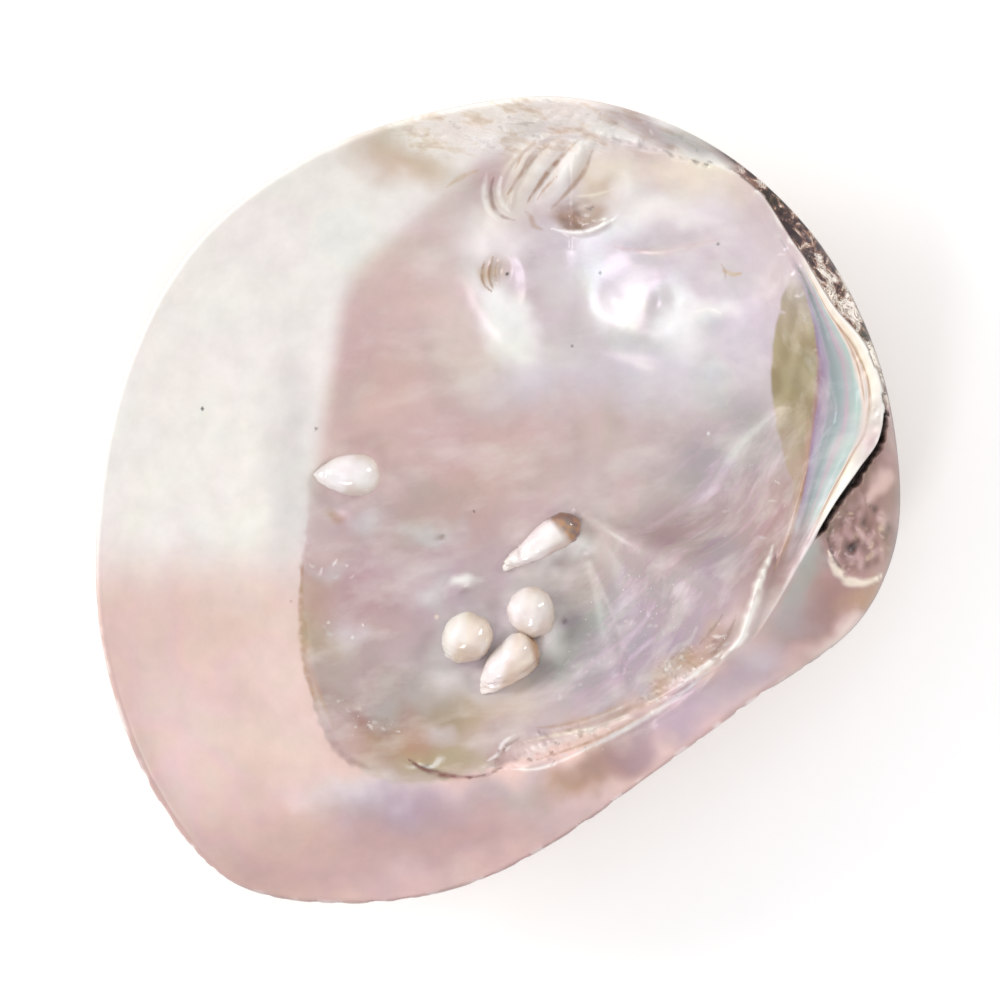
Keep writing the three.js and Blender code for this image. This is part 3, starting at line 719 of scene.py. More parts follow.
# Fine marks: path, half width, tint, strength.
MARKS = [
    # front scar
    ([(-1.2, 59.6), (-1.7, 57), (-1.2, 54.2), (0.4, 52.4), (2.6, 51.7)], 0.45, "rosewood", 0.7),
    ([(-2.4, 60.4), (-3, 57), (-2.4, 54), (-0.6, 51.6)], 0.6, "milk", 0.7),
    ([(0.2, 59.6), (-0.3, 57), (0.4, 54.6), (2, 53)], 0.5, "milk", 0.6),
    ([(2.6, 60.4), (4.2, 63.6), (6.8, 66), (10, 67.2), (14, 67.4)], 0.35, "amber", 0.55),
    ([(3.6, 59.6), (5, 62.4), (7.4, 64.8), (10.6, 66.2)], 0.3, "rosewood", 0.5),
    ([(4.8, 54.8), (6.6, 57.4), (9.2, 60.8), (12, 63.8), (14.2, 66)], 0.5, "tan", 0.9),
    ([(1.4, 56.4), (3.4, 59.4), (6, 62.6), (9.4, 65.6)], 0.45, "tan", 0.7),
    ([(9.4, 53.8), (12.6, 57), (15.4, 60.4), (17, 64.6)], 0.45, "tan", 0.7),
    ([(4.6, 53.4), (5.6, 52.2), (6.2, 50.6), (8, 50)], 0.5, "tan", 0.6),
    ([(6.4, 55), (8.2, 57.4), (10.6, 59.8)], 0.24, "amber", 0.6),
    ([(13.2, 56), (17, 56.2), (21.4, 57.4)], 0.3, "cream", 0.9),
    ([(9.4, 50.2), (13.4, 49.4), (17, 49.9), (20.8, 51.8)], 0.45, "milk", 1.0),
    ([(-10, 57.4), (-7.4, 59.2), (-4, 60.6)], 0.5, "sand", 0.8),
    # foot scar
    ([(-2.9, 44.2), (-3.4, 42.2), (-3, 40), (-1.6, 38.7)], 0.28, "tan", 0.9),
    ([(-1.3, 45), (-2, 42.8), (-1.9, 40.6), (-1.1, 39)], 0.3, "tan", 0.8),
    ([(-0.2, 44.6), (-0.9, 42.6), (-0.6, 40.2)], 0.18, "tan", 0.8),
    # pallial line at the hind end
    ([(-36.5, -11), (-36.8, -18), (-36.6, -25), (-35.6, -32), (-33, -39.6)], 0.6, "tan", 0.85),
    ([(-36, -22), (-35.4, -29), (-33.2, -36), (-30.6, -42)], 0.5, "amber", 0.3),
    ([(-34, -38), (-31.6, -42.6), (-29, -46.8), (-24, -49.4)], 0.8, "rosewood", 0.35),
    ([(-31.4, -37.6), (-27.6, -40.6), (-23, -42.4), (-18, -42.8)], 0.7, "rosewood", 0.4),
    # cleft and flakes of the hind scar
    ([(-17, -47.6), (-14.6, -49.2), (-10.4, -50.5), (-5, -51)], 0.5, "wine", 0.95),
    ([(-6, -50.9), (-2.6, -50.4), (0.4, -49)], 0.3, "umber", 0.8),
    ([(-1, -49.2), (-0.6, -47.2), (1, -45.4), (4, -43.4)], 0.35, "umber", 0.6),
    ([(-2.6, -48), (-0.4, -46.6), (0.4, -44.8), (2.8, -43)], 0.4, "milk", 0.6),
    ([(2, -49.4), (7, -49.2), (12, -47.4), (17, -45)], 0.3, "bone", 0.7),
    ([(4.4, -44.4), (9, -43.4), (13, -42.6), (18, -41.6)], 0.35, "cream", 0.7),
    ([(6, -47.8), (11, -46.2), (17, -44), (24, -40.6), (31, -36.2)], 0.3, "tan", 0.65),
    ([(13, -46.6), (19, -43.9), (26, -40), (33, -35.2), (38, -31)], 0.55, "silver", 0.75),
    ([(6, -42), (12, -41.2), (18, -39.4), (24, -36.6)], 0.35, "tan", 0.55),
    ([(24, -34), (26.4, -30.6), (28.4, -28)], 0.5, "silver", 0.4),
    ([(30, -31), (31.4, -27.6), (34.6, -25.6), (36, -23)], 0.5, "silver", 0.5),
    ([(33.6, -33), (37, -30.4), (40.4, -27.4)], 0.6, "bone", 0.8),
    ([(36, -26.6), (38.6, -23.6), (40.6, -20.6)], 0.3, "umber", 0.55),
    ([(39, -27.6), (41.6, -24), (43, -20.6)], 0.3, "umber", 0.5),
    # teeth and hinge
    ([(40.2, -28.6), (43.6, -25), (45.4, -20.4), (47.2, -14.4), (49.6, -8.2)], 0.95, "bone", 1.0),
    ([(56.4, 15.6), (55.8, 8), (54.2, 0.6), (52.4, -6.4), (49.8, -12.4)], 0.7, "tan", 0.95),
    ([(56.2, 8), (54.9, 2), (53.4, -3)], 0.3, "amber", 0.8),
    ([(57, 12), (56.8, 6), (55.2, 0), (53.8, -5.4), (52.4, -9)], 0.4, "mauve", 0.8),
    ([(54.4, -3), (53.6, -5.6)], 0.35, "sea", 0.9),
    ([(61.6, 6.5), (59.8, -1.3), (57.4, -5.5), (53.7, -12), (49.6, -19.4), (46, -24.6)],
     0.3, "silver", 0.7),
    ([(57.4, 37), (57.8, 30), (58.2, 22), (57.8, 14)], 0.35, "old_rose", 0.6),
    ([(58.3, 35), (59, 28), (59.4, 20), (59, 12)], 0.4, "grape", 0.5),
    # upper lining
    ([(21, 46.8), (29, 45.8), (40, 48)], 0.8, "rose", 0.4),
    ([(41, 42.6), (42.6, 41.6), (44.4, 41.8)], 0.4, "sand", 0.9),
    ([(40.6, 43.6), (41.4, 41.6), (41.2, 40.4)], 0.25, "tan", 0.7),
    ([(35, 34.6), (38.6, 35.4), (41, 34.4)], 0.35, "milk", 0.8),
    ([(46, 59.2), (52.8, 51), (54.6, 47.2), (60, 38.6)], 0.4, "cream", 0.6),
    # beak
    ([(59.4, -6.6), (60.8, -10.8), (62.6, -13)], 0.45, "bark", 0.75),
    ([(59.6, -9), (61, -12.6), (64.4, -14.9), (67.4, -14.6), (70.4, -13.4)], 0.9, "cream", 0.95),
    ([(64, 4.6), (66, 1.4), (66.6, -2)], 0.35, "umber", 0.5),
    ([(61.6, -1), (64, -3.4), (64.6, -6.6), (67, -8.4)], 0.4, "umber", 0.6),
]


def chalk_flakes():
    """Short curled flakes, strewn over the places listed, as more fine marks."""
    rng = np.random.default_rng(401)
    flakes = []
    for count, middle, radii, turn, tints in FLAKE_PLACES:
        c, s = math.cos(math.radians(turn)), math.sin(math.radians(turn))
        for _ in range(count):
            reach = math.sqrt(rng.uniform(0, 1))
            way = rng.uniform(0, math.tau)
            u = radii[0] * reach * math.cos(way)
            v = radii[1] * reach * math.sin(way)
            x = middle[0] + u * c - v * s
            y = middle[1] + u * s + v * c
            heading = math.radians(turn) + rng.normal(0, 0.7)
            length = rng.uniform(0.2, 0.8)
            step = (length * math.cos(heading), length * math.sin(heading))
            bend = rng.normal(0, 0.25) * length
            path = [(x - step[0], y - step[1]), (x - bend * step[1], y + bend * step[0]),
                    (x + step[0], y + step[1])]
            name = tints[rng.integers(len(tints))]
            flakes.append((path, rng.uniform(0.12, 0.34), name, rng.uniform(0.3, 0.7)))
    return flakes


MARKS += chalk_flakes()

# Inner edge of the hinge plate, and of the horny film under it: y in plan, then x.
PLATE_EDGE = ((-20, -12, -5, 0, 6, 12, 18, 25, 32, 38, 44, 50),
              (46.8, 50.2, 53.2, 54.6, 55.7, 56.6, 57.4, 57.8, 57.0, 55.4, 52.8, 49.8))
FILM_EDGE = ((-4, 4, 12, 20, 26, 34, 41), (54.2, 53, 51.2, 50.1, 49.9, 50.8, 52.6))

# Specks: place, radius, tint.
SPECKS = [
    (1.3, 41.9, 0.32, "black_skin"), (18.4, 42.1, 0.3, "black_skin"),
    (40, 47.1, 0.28, "black_skin"), (13.3, 28.7, 0.25, "bark"),
    (-54.6, 16.9, 0.32, "black_skin"), (-34, 13.2, 0.25, "bark"),
    (-4.9, -1.9, 0.22, "bark"), (61.2, 26, 0.95, "silver"), (-11.8, -21.5, 0.4, "blush"),
    (38.6, 12.5, 0.3, "milk"), (-38.6, -18.5, 0.22, "tan"),
]


def pigment(code):
    """An sRGB hex colour as linear light."""
    value = np.array([int(code[i:i + 2], 16) for i in (0, 2, 4)]) / 255
    return np.where(value <= 0.04045, value / 12.92, ((value + 0.055) / 1.055) ** 2.4)


def nacre(name):
    return pigment(NACRE_TINTS[name])


def over(colour, name, weight):
    """A named tint laid over a colour, as strongly as the weight says at each point."""
    return mix(colour, nacre(name), weight[:, None])


def washed(s, colour, washes):
    """Lays soft washes over a colour, their edges wandering a little."""
    x = s.x + 1.6 * ripple(s.x, s.y, 13, 71) + 0.5 * ripple(s.x, s.y, 4, 73)
    y = s.y + 1.6 * ripple(s.x, s.y, 13, 72) + 0.5 * ripple(s.x, s.y, 4, 74)
    for cx, cy, along, across, turn, name, strength in washes:
        place = (cx, cy, along * WASH_SPREAD, across * WASH_SPREAD, turn, strength)
        colour = over(colour, name, mound(x, y, place))
    return colour


def marked(s, colour):
    """Fine marks: they taper at both ends and waver."""
    for number, (path, half, name, strength) in enumerate(MARKS):
        off, along, length = near_line(path, s.x, s.y, 3 * half + 1)
        from_end = np.minimum(along, length - along) / (0.4 * length)
        width = half * np.sqrt(np.clip(from_end, 0.04, 1))
        wander = 0.18 * half * ripple(s.x, s.y, 3.1, 200 + number)
        broken = mix(1, 0.55, ease(0.1, 0.8, ripple(s.x, s.y, 2.6, 300 + number)))
        weight = strength * broken * ease(1.5 * width, 0.2 * width, off + wander)
        colour = over(colour, name, weight)
    for x, y, radius, name in SPECKS:
        spot = ease(1.3 * radius, 0.7 * radius, np.hypot(s.x - x, s.y - y))
        colour = over(colour, name, 0.85 * spot)
    return colour


def inside_share(s):
    """0 on the free band, 1 in the basin: a soft change in front, sharp at the hind end."""
    depth = np.where(s.outside, -s.off_crest, s.off_crest)
    ragged = depth + 0.35 * ripple(s.x, s.y, 3, 75)
    turned = np.where(s.angle > 60, s.angle - 360, s.angle)
    front = ease(-262, -280, turned)
    share = mix(ease(-2, 3, depth), ease(-0.4, 0.6, ragged), ease(-188, -168, turned))
    return mix(share, ease(-0.35, 0.35, depth), front)


def top_tint(s):
    """All that looks up: free band, basin, beak, film under the hinge, cleft, fine marks."""
    # The free band is pale bone above and shell pink below: the pale upper part is partly the
    # nacre's own paler tone and partly a painted reflection of the left softbox.
    pink = ease(-3, -21, s.y + 1.2 * ripple(s.x, s.y, 26, 81))
    band = washed(s, over(nacre("bone"), "shell_pink", pink), BAND_WASHES)
    basin = washed(s, mix(nacre("silver"), nacre("rose"), 0.5), BASIN_WASHES)
    tint = mix(band, basin, inside_share(s)[:, None])
    beak = washed(s, nacre("old_rose"), BEAK_WASHES)
    beak = mix(beak, crust_tint_with_crevice_shade(s), 0.85 * crust_share(s)[:, None])
    beak_side = np.where(s.outside, ease(-40, -30, s.angle) * ease(66, 62, s.angle), 0)
    tint = mix(tint, beak, beak_side[:, None])
    tint = mix(tint, film_tint(s), wall_film(s)[:, None])
    # The cleft is painted near black, partly its dark skin and partly painted shade in the
    # recess; the umber beside it, outside the crest, is painted shade under the lip.
    cleft = cleft_share(s)
    tint = over(tint, "black_skin", 0.93 * cleft)
    shade_beside_cleft = np.where(s.outside, ease(-9, -3, s.crest_angle) * ease(17, 9, s.crest_angle), 0)
    shade_beside_cleft = shade_beside_cleft * ease(4.6, 1.6, s.off_crest + 0.8 * ripple(s.x, s.y, 3, 59))
    tint = over(tint, "umber", 0.75 * shade_beside_cleft * (1 - cleft))
    return rim_tint(s, marked(s, tint))


def crust_share(s):
    return ease(0.1, 0.4, mound(s.x, s.y, (65, -6.5, 9.4, 9, 10, 1.0)))


def crust_tint_with_crevice_shade(s):
    """Crusted lumps: pale rose crowns, brown flanks and near black crevices between them, the
    darkening from crown to crevice painted shade, with sandy dust.
    """
    low = -0.7 * ripple(s.x, s.y, 6, 51) - 0.5 * ripple(s.x, s.y, 2.4, 52)
    # The lower a point lies among the lumps, the darker: painted shade in the crevices.
    tint = over(nacre("rose"), "old_rose", ease(-1.0, -0.5, low))
    tint = over(tint, "rosewood", ease(-0.5, 0.0, low))
    tint = over(tint, "umber", ease(0.0, 0.6, low))
    tint = over(tint, "bark", ease(0.6, 1.1, low))
    dusty = ease(0.6, 1.1, ripple(s.x, s.y, 3.4, 58))
    return over(tint, "sand", 0.6 * dusty)


def wall_film(s):
    """Horny film left on the wall under the hinge plate, with a crisp inner edge."""
    beyond_plate = 8 * (across_plate(s) - 1)
    inner_edge = np.interp(s.y, *FILM_EDGE) + 0.25 * ripple(s.x, s.y, 5, 77)
    film = ease(-0.4, 0.2, beyond_plate) * ease(-0.3, 0.3, s.x - inner_edge)
    ends = ease(-3, 4, s.y) * ease(43, 37, s.y)
    return np.where(s.outside, 0, 0.96 * film * ends)


def film_tint(s):
    """Khaki and olive streaks down the film, greyer in front and browner behind."""
    streaky = ease(-0.7, 0.7, ripple(2.2 * s.x, 0.5 * s.y, 6, 78))
    film = over(nacre("khaki"), "olive", 0.85 * streaky)
    film = over(film, "pearl_grey", 0.5 * ease(27, 42, s.y))
    return over(film, "tan", 0.6 * ease(18, 4, s.y))


def rim_tint(s, tint):
    """Thin pink edge at the hind end, dark old skin along the front of the beak."""
    turned = np.where(s.angle > 90, s.angle - 360, s.angle)
    hind = ease(-30, -45, turned) * (1 - ease(-150, -190, turned))
    tint = over(tint, "old_rose", 0.55 * hind * ease(1.6, 0.5, s.inset))
    chipped = hind * ease(0.1, 0.7, ripple(s.x, s.y, 5, 79))
    tint = over(tint, "milk", 0.4 * chipped * ease(0.9, 0.3, s.inset))
    dark = between(26, 34, 64, 74, s.angle)
    return over(tint, "black_skin", 0.9 * dark * ease(0.8, 0.35, s.inset))


def under_tint(s):
    """The polished back: bronze by the beak, pinker and paler towards the free edge."""
    base = over(nacre("tan"), "shell_pink", ease(0.1, 0.95, s.growth))
    return over(base, "sage", 0.3 * ease(0.1, 0.9, ripple(s.x, s.y, 30, 83)))


def skin_share(s, under):
    """Where the horny outer skin was not polished away."""
    front = between(14, 22, 61, 67, s.angle)
    if under:
        ragged = 3 + 2.6 * ripple(s.x, s.y, 9, 91)
        return front * ease(ragged + 2.5, ragged, s.inset - 5)
    return np.where(s.outside, front, 0)


# ---- Points of the mesh -------------------------------------------------------------

LATTICES = (1.2, 0.6, 0.3)                # nested triangular lattices: spacing
BACK_SPACING = 1.1
EDGE_ROWS = (0.1, 0.3, 0.6, 1.0, 1.5)     # rows of points in from the outline
CREST_ROWS = (-0.6, -0.3, 0.0, 0.3, 0.6)  # and on both sides of the crest
MARK_SPACING = 0.4
BEAK_SPACING = 0.42

# Places that need finer facets: middle, radii, spacing wanted.
FINE_PLACES = [
    (9, 59, 16, 13, 0.42), (-0.7, 42.3, 5, 6, 0.35), (-28.5, 4.9, 9, 6.5, 0.5),
    (0, -24.5, 15, 14, 0.45), (8, -8.5, 11, 8, 0.45), (-30, -4, 6, 5, 0.6),
    (-11, -6, 9, 4, 0.6), (-10, -17, 7, 4, 0.6), (13, -46, 21, 7, 0.5),
    (30, 64, 16, 7, 0.45), (-8, 66, 16, 7, 0.6), (30, 38, 18, 14, 0.6),
    (24, -24, 24, 13, 0.7), (-20, -44, 18, 9, 0.7), (0, 38, 10, 14, 0.7),
    (51, 20, 3, 25, 0.35),
]


def lattice(spacing):
    """Points in rows, every second row shifted by half a step."""
    rows = []
    half = PLAN_WIDTH_MM / 2 + 1
    for row, y in enumerate(np.arange(-half, half, spacing * math.sqrt(0.75))):
        x = np.arange(-half, half, spacing) + (row % 2) * spacing / 2
        rows.append(np.column_stack([x, np.full(x.shape, y)]))
    return np.concatenate(rows)


def wanted_spacing(s):
    """Fine near the hinge, the scars, the marks and the beak, coarse on even lining."""
    hinge = hinge_share(s.crest_angle)
    wanted = np.full(s.x.shape, LATTICES[0] + 0.1)
    near_crest = np.where(s.off_crest < 1.3, BEAK_SPACING, np.where(s.off_crest < 13, 0.6, 2))
    wanted = np.where(hinge > 0.3, np.minimum(wanted, near_crest), wanted)
    beak = s.outside & (s.angle > -14) & (s.angle < 54)
    wanted = np.where(beak, BEAK_SPACING, wanted)
    for x, y, along, across, spacing in FINE_PLACES:
        inside = np.hypot((s.x - x) / along, (s.y - y) / across) < 1
        wanted = np.where(inside, np.minimum(wanted, spacing), wanted)
    for path, half, _, _ in MARKS:
        off, _, _ = near_line(path, s.x, s.y, 2)
        wanted = np.where(off < 1.4 * half + 0.4, np.minimum(wanted, MARK_SPACING), wanted)
    for x, y, radius, _ in SPECKS:
        close = np.hypot(s.x - x, s.y - y) < radius + 0.5
        wanted = np.where(close, np.minimum(wanted, MARK_SPACING), wanted)
    return wanted


def chipping(line):
    """How far the hind and lower edge is worn back from its even outline."""
    angle = direction(*line.T)
    turned = np.where(angle > 90, angle - 360, angle)
    hind = ease(-20, -34, turned) * (1 - ease(-140, -180, turned))
    wear = ripple(line[:, 0], line[:, 1], 7, 85) + 0.6 * ripple(line[:, 0], line[:, 1], 2.5, 86)
    return 0.28 * hind * np.maximum(0, wear)


def edge_rows():
    """The outline itself, then rows of points just inside it for the rounded edge."""
    line = smooth_line(OUTLINE, closed=True, step=0.8)[:-1]
    away = line - BACK_CENTRE
    heading = away / np.hypot(*away.T)[:, None]
    chips = chipping(line)
    rows = []
    for inset in (0, *EDGE_ROWS):
        worn = inset + chips * (1 - inset / EDGE_ROWS[-1])
        rows.append(line - heading * worn[:, None])
    return rows


def crest_rows():
    """Points along the crest line and beside it, so that its edge stays crisp."""
    step = np.roll(CREST_LINE[:-1], -1, axis=0) - np.roll(CREST_LINE[:-1], 1, axis=0)
    outward = np.column_stack([step[:, 1], -step[:, 0]]) / np.hypot(*step.T)[:, None]
    return np.concatenate([CREST_LINE[:-1] + outward * row for row in CREST_ROWS])


def top_points():
    rows = edge_rows()
    crest = crest_rows()
    crest = crest[Spots(*crest.T).inset > EDGE_ROWS[-1] + 0.3]
    chosen = []
    for level, spacing in enumerate(LATTICES):
        points = lattice(spacing)
        s = Spots(*points.T)
        keep = (s.inset > EDGE_ROWS[-1] + 0.35) & (s.off_crest > CREST_ROWS[-1] + 0.15)
        if level:
            keep &= wanted_spacing(s) < spacing * 1.5
        chosen.append(points[keep])
    lattices = np.unique(np.concatenate(chosen).round(4), axis=0)
    return np.concatenate([*rows, crest, lattices])


def under_points():
    rows = edge_rows()
    points = lattice(BACK_SPACING)
    return np.concatenate([*rows, points[Spots(*points.T).inset > EDGE_ROWS[-1] + 0.5]])


def triangles(points, rim):
    """Delaunay triangles inside the rim, which is the first points in order."""
    loop = [(i, (i + 1) % rim) for i in range(rim)]
    coords = [Vector(p) for p in points.tolist()]
    _, _, faces, origins, *_ = delaunay_2d_cdt(coords, loop, [], 1, 1e-5)
    first = [min(source) for source in origins]
    return [tuple(first[i] for i in face) for face in faces]


# ---- Building the meshes ------------------------------------------------------------

PLAN_MIDDLE = (OUTLINE_LINE.min(axis=0) + OUTLINE_LINE.max(axis=0)) / 2
BOX_MIDDLE = [(low + high) / 2 for low, high in zip(VALVE_LOW, VALVE_HIGH)]

# What the mesh carries for its material: place across and along the hinge, then where the
# banded plate, horny skin, dark skin, split front edge, streaks, chalky flecks, satin, gloss
# and lining are, growth rests passed, and whether it is the back or a pearl.
SHARES = ("share", "along", "plate", "skin", "dark", "flakes", "streak", "flecks", "satin",
          "gloss", "lining", "age", "under", "pearl")

FLECK_PLACES = [
    (57.5, 24, 1.6, 24, 0, 1), (22, -22, 26, 16, 40, 0.8), (12, -45, 22, 5, 16, 1),
    (38, -26, 10, 5, 42, 1), (9, 57, 14, 12, 0, 0.5), (-26, -40, 9, 5, -20, 0.8),
    (50, 51, 14, 3, -54, 1), (52, -4, 3, 10, -12, 1),
]
STREAK_PLACES = [(24, -20, 36, 20, 42, 1.3), (44, 4, 18, 22, 0, 1.0)]


def in_frame(points):
    """Millimetres of the plan to metres of the frame."""
    placed = np.array(points, float)
    placed[:, :2] -= PLAN_MIDDLE
    placed *= MM
    return placed + (BOX_MIDDLE[0], BOX_MIDDLE[1], VALVE_LOW[2])


def make_mesh(name, verts, faces, tint, shares):
    mesh = bpy.data.meshes.new(name)
    mesh.from_pydata(in_frame(verts).tolist(), [], faces)
    colours = np.column_stack([np.clip(tint, 0, 1), np.ones(len(tint))])
    layer = mesh.attributes.new("tint", "FLOAT_COLOR", "POINT")
    layer.data.foreach_set("color", colours.astype(np.float32).ravel())
    for key in SHARES:
        layer = mesh.attributes.new(key, "FLOAT", "POINT")
        values = np.broadcast_to(shares.get(key, 0.0), (len(verts),))
        layer.data.foreach_set("value", values.astype(np.float32))
    mesh.shade_smooth()
    obj = bpy.data.objects.new(name, mesh)
    bpy.context.collection.objects.link(obj)
    return obj


def plate_share(s):
    """1 on the banded hinge plate, less on its cream lip."""
    on = ease(-11, 0, s.crest_angle) * ease(50, 40, s.crest_angle)
    lip = mound(s.x, s.y, (67.5, 11, 4, 12, -14, 1.0))
    return np.where(s.outside, 0, on * ease(1.04, 0.96, across_plate(s)) * (1 - lip))


def shares_of(s, under):
    if under:
        return {"skin": skin_share(s, True), "age": shell_age(s), "under": 1.0, "satin": 0.5}
    streaked = sum(mound(s.x, s.y, place) for place in STREAK_PLACES)
    basin = inside_share(s)
    return {
        "share": np.where(s.outside, -s.off_crest / 6, across_plate(s)),
        "along": np.where(s.outside, s.along, s.y),
        "plate": plate_share(s),
        "skin": skin_share(s, False),
        "dark": ease(36, 50, s.y) * np.where(s.outside, 1, 0),
        "flakes": front_edge_share(s),
        "streak": np.clip(streaked, 0, 1) * basin,
        "flecks": np.maximum.reduce([mound(s.x, s.y, place) for place in FLECK_PLACES]),
        "satin": 1 - basin,
        "gloss": mound(s.x, s.y, (18, 40, 44, 27, 0, 1.0)),
        "lining": basin,
    }


def make_shell():
    """Top and under skins share the outline's points, so they close into one solid."""
    rim = len(edge_rows()[0])
    top = top_points()
    under = under_points()
    s_top = Spots(*top.T)
    s_under = Spots(*under.T)
    top_z = top_height(s_top)
    under_z = under_height(s_under)
    top_z[:rim] = under_z[:rim]
    verts = np.concatenate([np.column_stack([top, top_z]),
                            np.column_stack([under, under_z])[rim:]])
    faces = triangles(top, rim)
    shift = len(top) - rim
    for face in triangles(under, rim):
        faces.append(tuple(i if i < rim else i + shift for i in reversed(face)))
    tint = np.concatenate([top_tint(s_top), under_tint(s_under)[rim:]])
    above = shares_of(s_top, False)
    below = shares_of(s_under, True)
    shares = {}
    for key in SHARES:
        upper = np.broadcast_to(above.get(key, 0.0), (len(top),))
        lower = np.broadcast_to(below.get(key, 0.0), (len(under),))
        shares[key] = np.concatenate([upper, lower[rim:]])
    return make_mesh("valve_nacre", verts, faces, tint, shares)


def lining_at(point):
    return float(top_height(Spots([point[0]], [point[1]]))[0])


def pearl_tint(index, verts, centre, tint):
    """Milky on the side toward the left softbox, a painted highlight, and sandier low down and at
    the foot away from that side, painted shade. One pearl carries an amber stain, another a
    mottled brown cap and a lilac foot."""
    x, y, z = (verts - centre).T
    # Painted shade low down and at the foot, painted highlight on the side that faces the left
    # softbox.
    colour = over(nacre(tint), "sand", 0.9 * ease(2.4, -1.6, z))
    flank = ease(-0.6, -2.6, x - 0.3 * y)
    colour = over(colour, "milk", 0.75 * flank)
    foot = ease(1.6, 3.8, np.hypot(x - 0.8, y - 0.4))
    colour = over(colour, "sand", 0.45 * (foot * (1 - flank)))
    cloud = ripple(verts[:, 0], verts[:, 1] + verts[:, 2], 4, 91 + index)
    colour = over(colour, "blush", 0.3 * ease(0, 1, cloud))
    colour = over(colour, "bone", 0.5 * ease(0, -1, cloud))
    if index == STAINED_PEARL:
        colour = over(colour, "amber", 0.7 * ease(2.0, 3.4, x + 0.3 * y))
    if index == CAPPED_PEARL:
        mottle = ease(-0.6, 0.6, ripple(verts[:, 0], verts[:, 1], 2.2, 97))
        brown = over(nacre("amber"), "umber", mottle)
        colour = mix(colour, brown, 0.9 * ease(-2.4, -0.4, x + 0.9 * y)[:, None])
        crown = ease(0.8, 2.2, y) * ease(-4.5, -2.5, x)
        colour = over(colour, "umber", 0.8 * crown)
        skirt = ease(0.4, -1.4, z) * ease(-0.5, 1.5, x - y)
        colour = over(colour, "lilac", 0.8 * skirt)
    return colour


def make_pearl(index):
    """A blister pearl, sunk into the lining and pointing along it."""
    body, radius, tip, rise, taper, lumpy, tint = PEARLS[index]
    centre = np.array([*body, lining_at(body) + rise])
    end = np.array([*tip, lining_at(tip) + 0.4])
    length = max(radius, float(np.linalg.norm(end - centre)))
    verts, faces = pearl_form(radius, length, taper, lumpy, 100 + index)
    turn = Vector((0, 1, 0)).rotation_difference(Vector(end - centre))
    verts = verts @ np.array(turn.to_matrix()).T + centre
    colour = pearl_tint(index, verts, centre, tint)
    faces = [tuple(reversed(face)) for face in faces]
    return make_mesh(f"pearl_{index + 1}", verts, faces, colour, {"pearl": 1.0})


def grow_together(shell, pearls):
    """Joins the pearls to the shell, as they grew, and takes the pearls' meshes away."""
    for pearl in pearls:
        union = shell.modifiers.new(pearl.name, "BOOLEAN")
        union.operation = "UNION"
        union.solver = "MANIFOLD"
        union.object = pearl
    bpy.context.view_layer.update()
    grown = shell.evaluated_get(bpy.context.evaluated_depsgraph_get())
    mesh = bpy.data.meshes.new_from_object(grown)
    shell.modifiers.clear()
    shell.data = mesh
    for pearl in pearls:
        bpy.data.objects.remove(pearl)


# ---- Materials ----------------------------------------------------------------------

# Real sizes of the patterns in the nacre, in millimetres.
LIGHT_PATCH = 14    # where the tiles lie at one tilt
CLOUD = 5
STREAK = 3
SLIVER = 3
FLECK_SPACING = 1
WISP = 6
POLISH_MARK = 1.6
RELIEF = 0.5        # height that a full step of bump stands for
PAPER_TOOTH = 1.5

# Roughness of each finish, laid over that of the lining in this order.
LINING_ROUGHNESS = (0.36, 0.46)
FINISHES = [("gloss", 0.24), ("streak", 0.52), ("satin", 0.45), ("pearl", 0.13), ("skin", 0.65)]

STREAK_HUES = [(0.32, "grape"), (0.44, "pearl_grey"), (0.52, "sage"), (0.60, "mauve"),
               (0.70, "lilac")]
PLATE_HUES = [(0.02, "bone"), (0.16, "cream"), (0.22, "tan"), (0.27, "blush"), (0.34, "sea"),
              (0.42, "sea_mist"), (0.52, "mauve"), (0.60, "mist"), (0.74, "slate"),
              (0.82, "dusk"), (0.93, "plum"), (1.0, "rosewood")]
# hues of the split front edge: the milk and bone stops are partly pale split layers, partly
# painted glints
SLIVER_GLINT_HUES = [(0.34, "sand"), (0.43, "cream"), (0.49, "milk"), (0.54, "bone"), (0.60, "milk"),
               (0.67, "silver")]
BACK_HUES = [(0.32, "rest_brown"), (0.41, "rest_tan"), (0.47, "white_glint"),
             (0.55, "line_green"), (0.62, "white_glint"), (0.72, "line_pink")]
SKIN_HUES = [(0.32, "black_skin"), (0.39, "bark"), (0.43, "umber"), (0.46, "tan"),
             (0.48, "bone"), (0.505, "bark"), (0.515, "umber"), (0.53, "cream"),
             (0.60, "bone"), (0.65, "sand"), (0.68, "umber"), (0.72, "cream")]


def add_node(tree, kind, settings, inputs, stops=()):
    """Adds a node with its settings. An input is a value, or a socket to link from. Stops
    are a ramp's places and tints."""
    node = tree.nodes.new(kind)
    for key, value in settings.items():
        setattr(node, key, value)
    for key, value in inputs.items():
        socket = node.inputs[key]
        if isinstance(value, bpy.types.NodeSocket):
            tree.links.new(value, socket)
        else:
            socket.default_value = value
    if stops:
        elements = node.color_ramp.elements
        while len(elements) < len(stops):
            elements.new(0.5)
        for element, (place, name) in zip(elements, stops):
            element.position = place
            element.color = (*nacre(name), 1)
    return node


def per_mm(size):
    """Texture scale for a pattern of about so many millimetres."""
    return 1 / (size * MM)


def read_mesh(tree):
    """Sockets for the place of each point and for what the mesh carries there."""
    layer = {"place": add_node(tree, "ShaderNodeTexCoord", {}, {}).outputs["Object"]}
    for key in ("tint", *SHARES):
        node = add_node(tree, "ShaderNodeAttribute", {"attribute_name": key}, {})
        layer[key] = node.outputs["Color" if key == "tint" else "Fac"]
    return layer


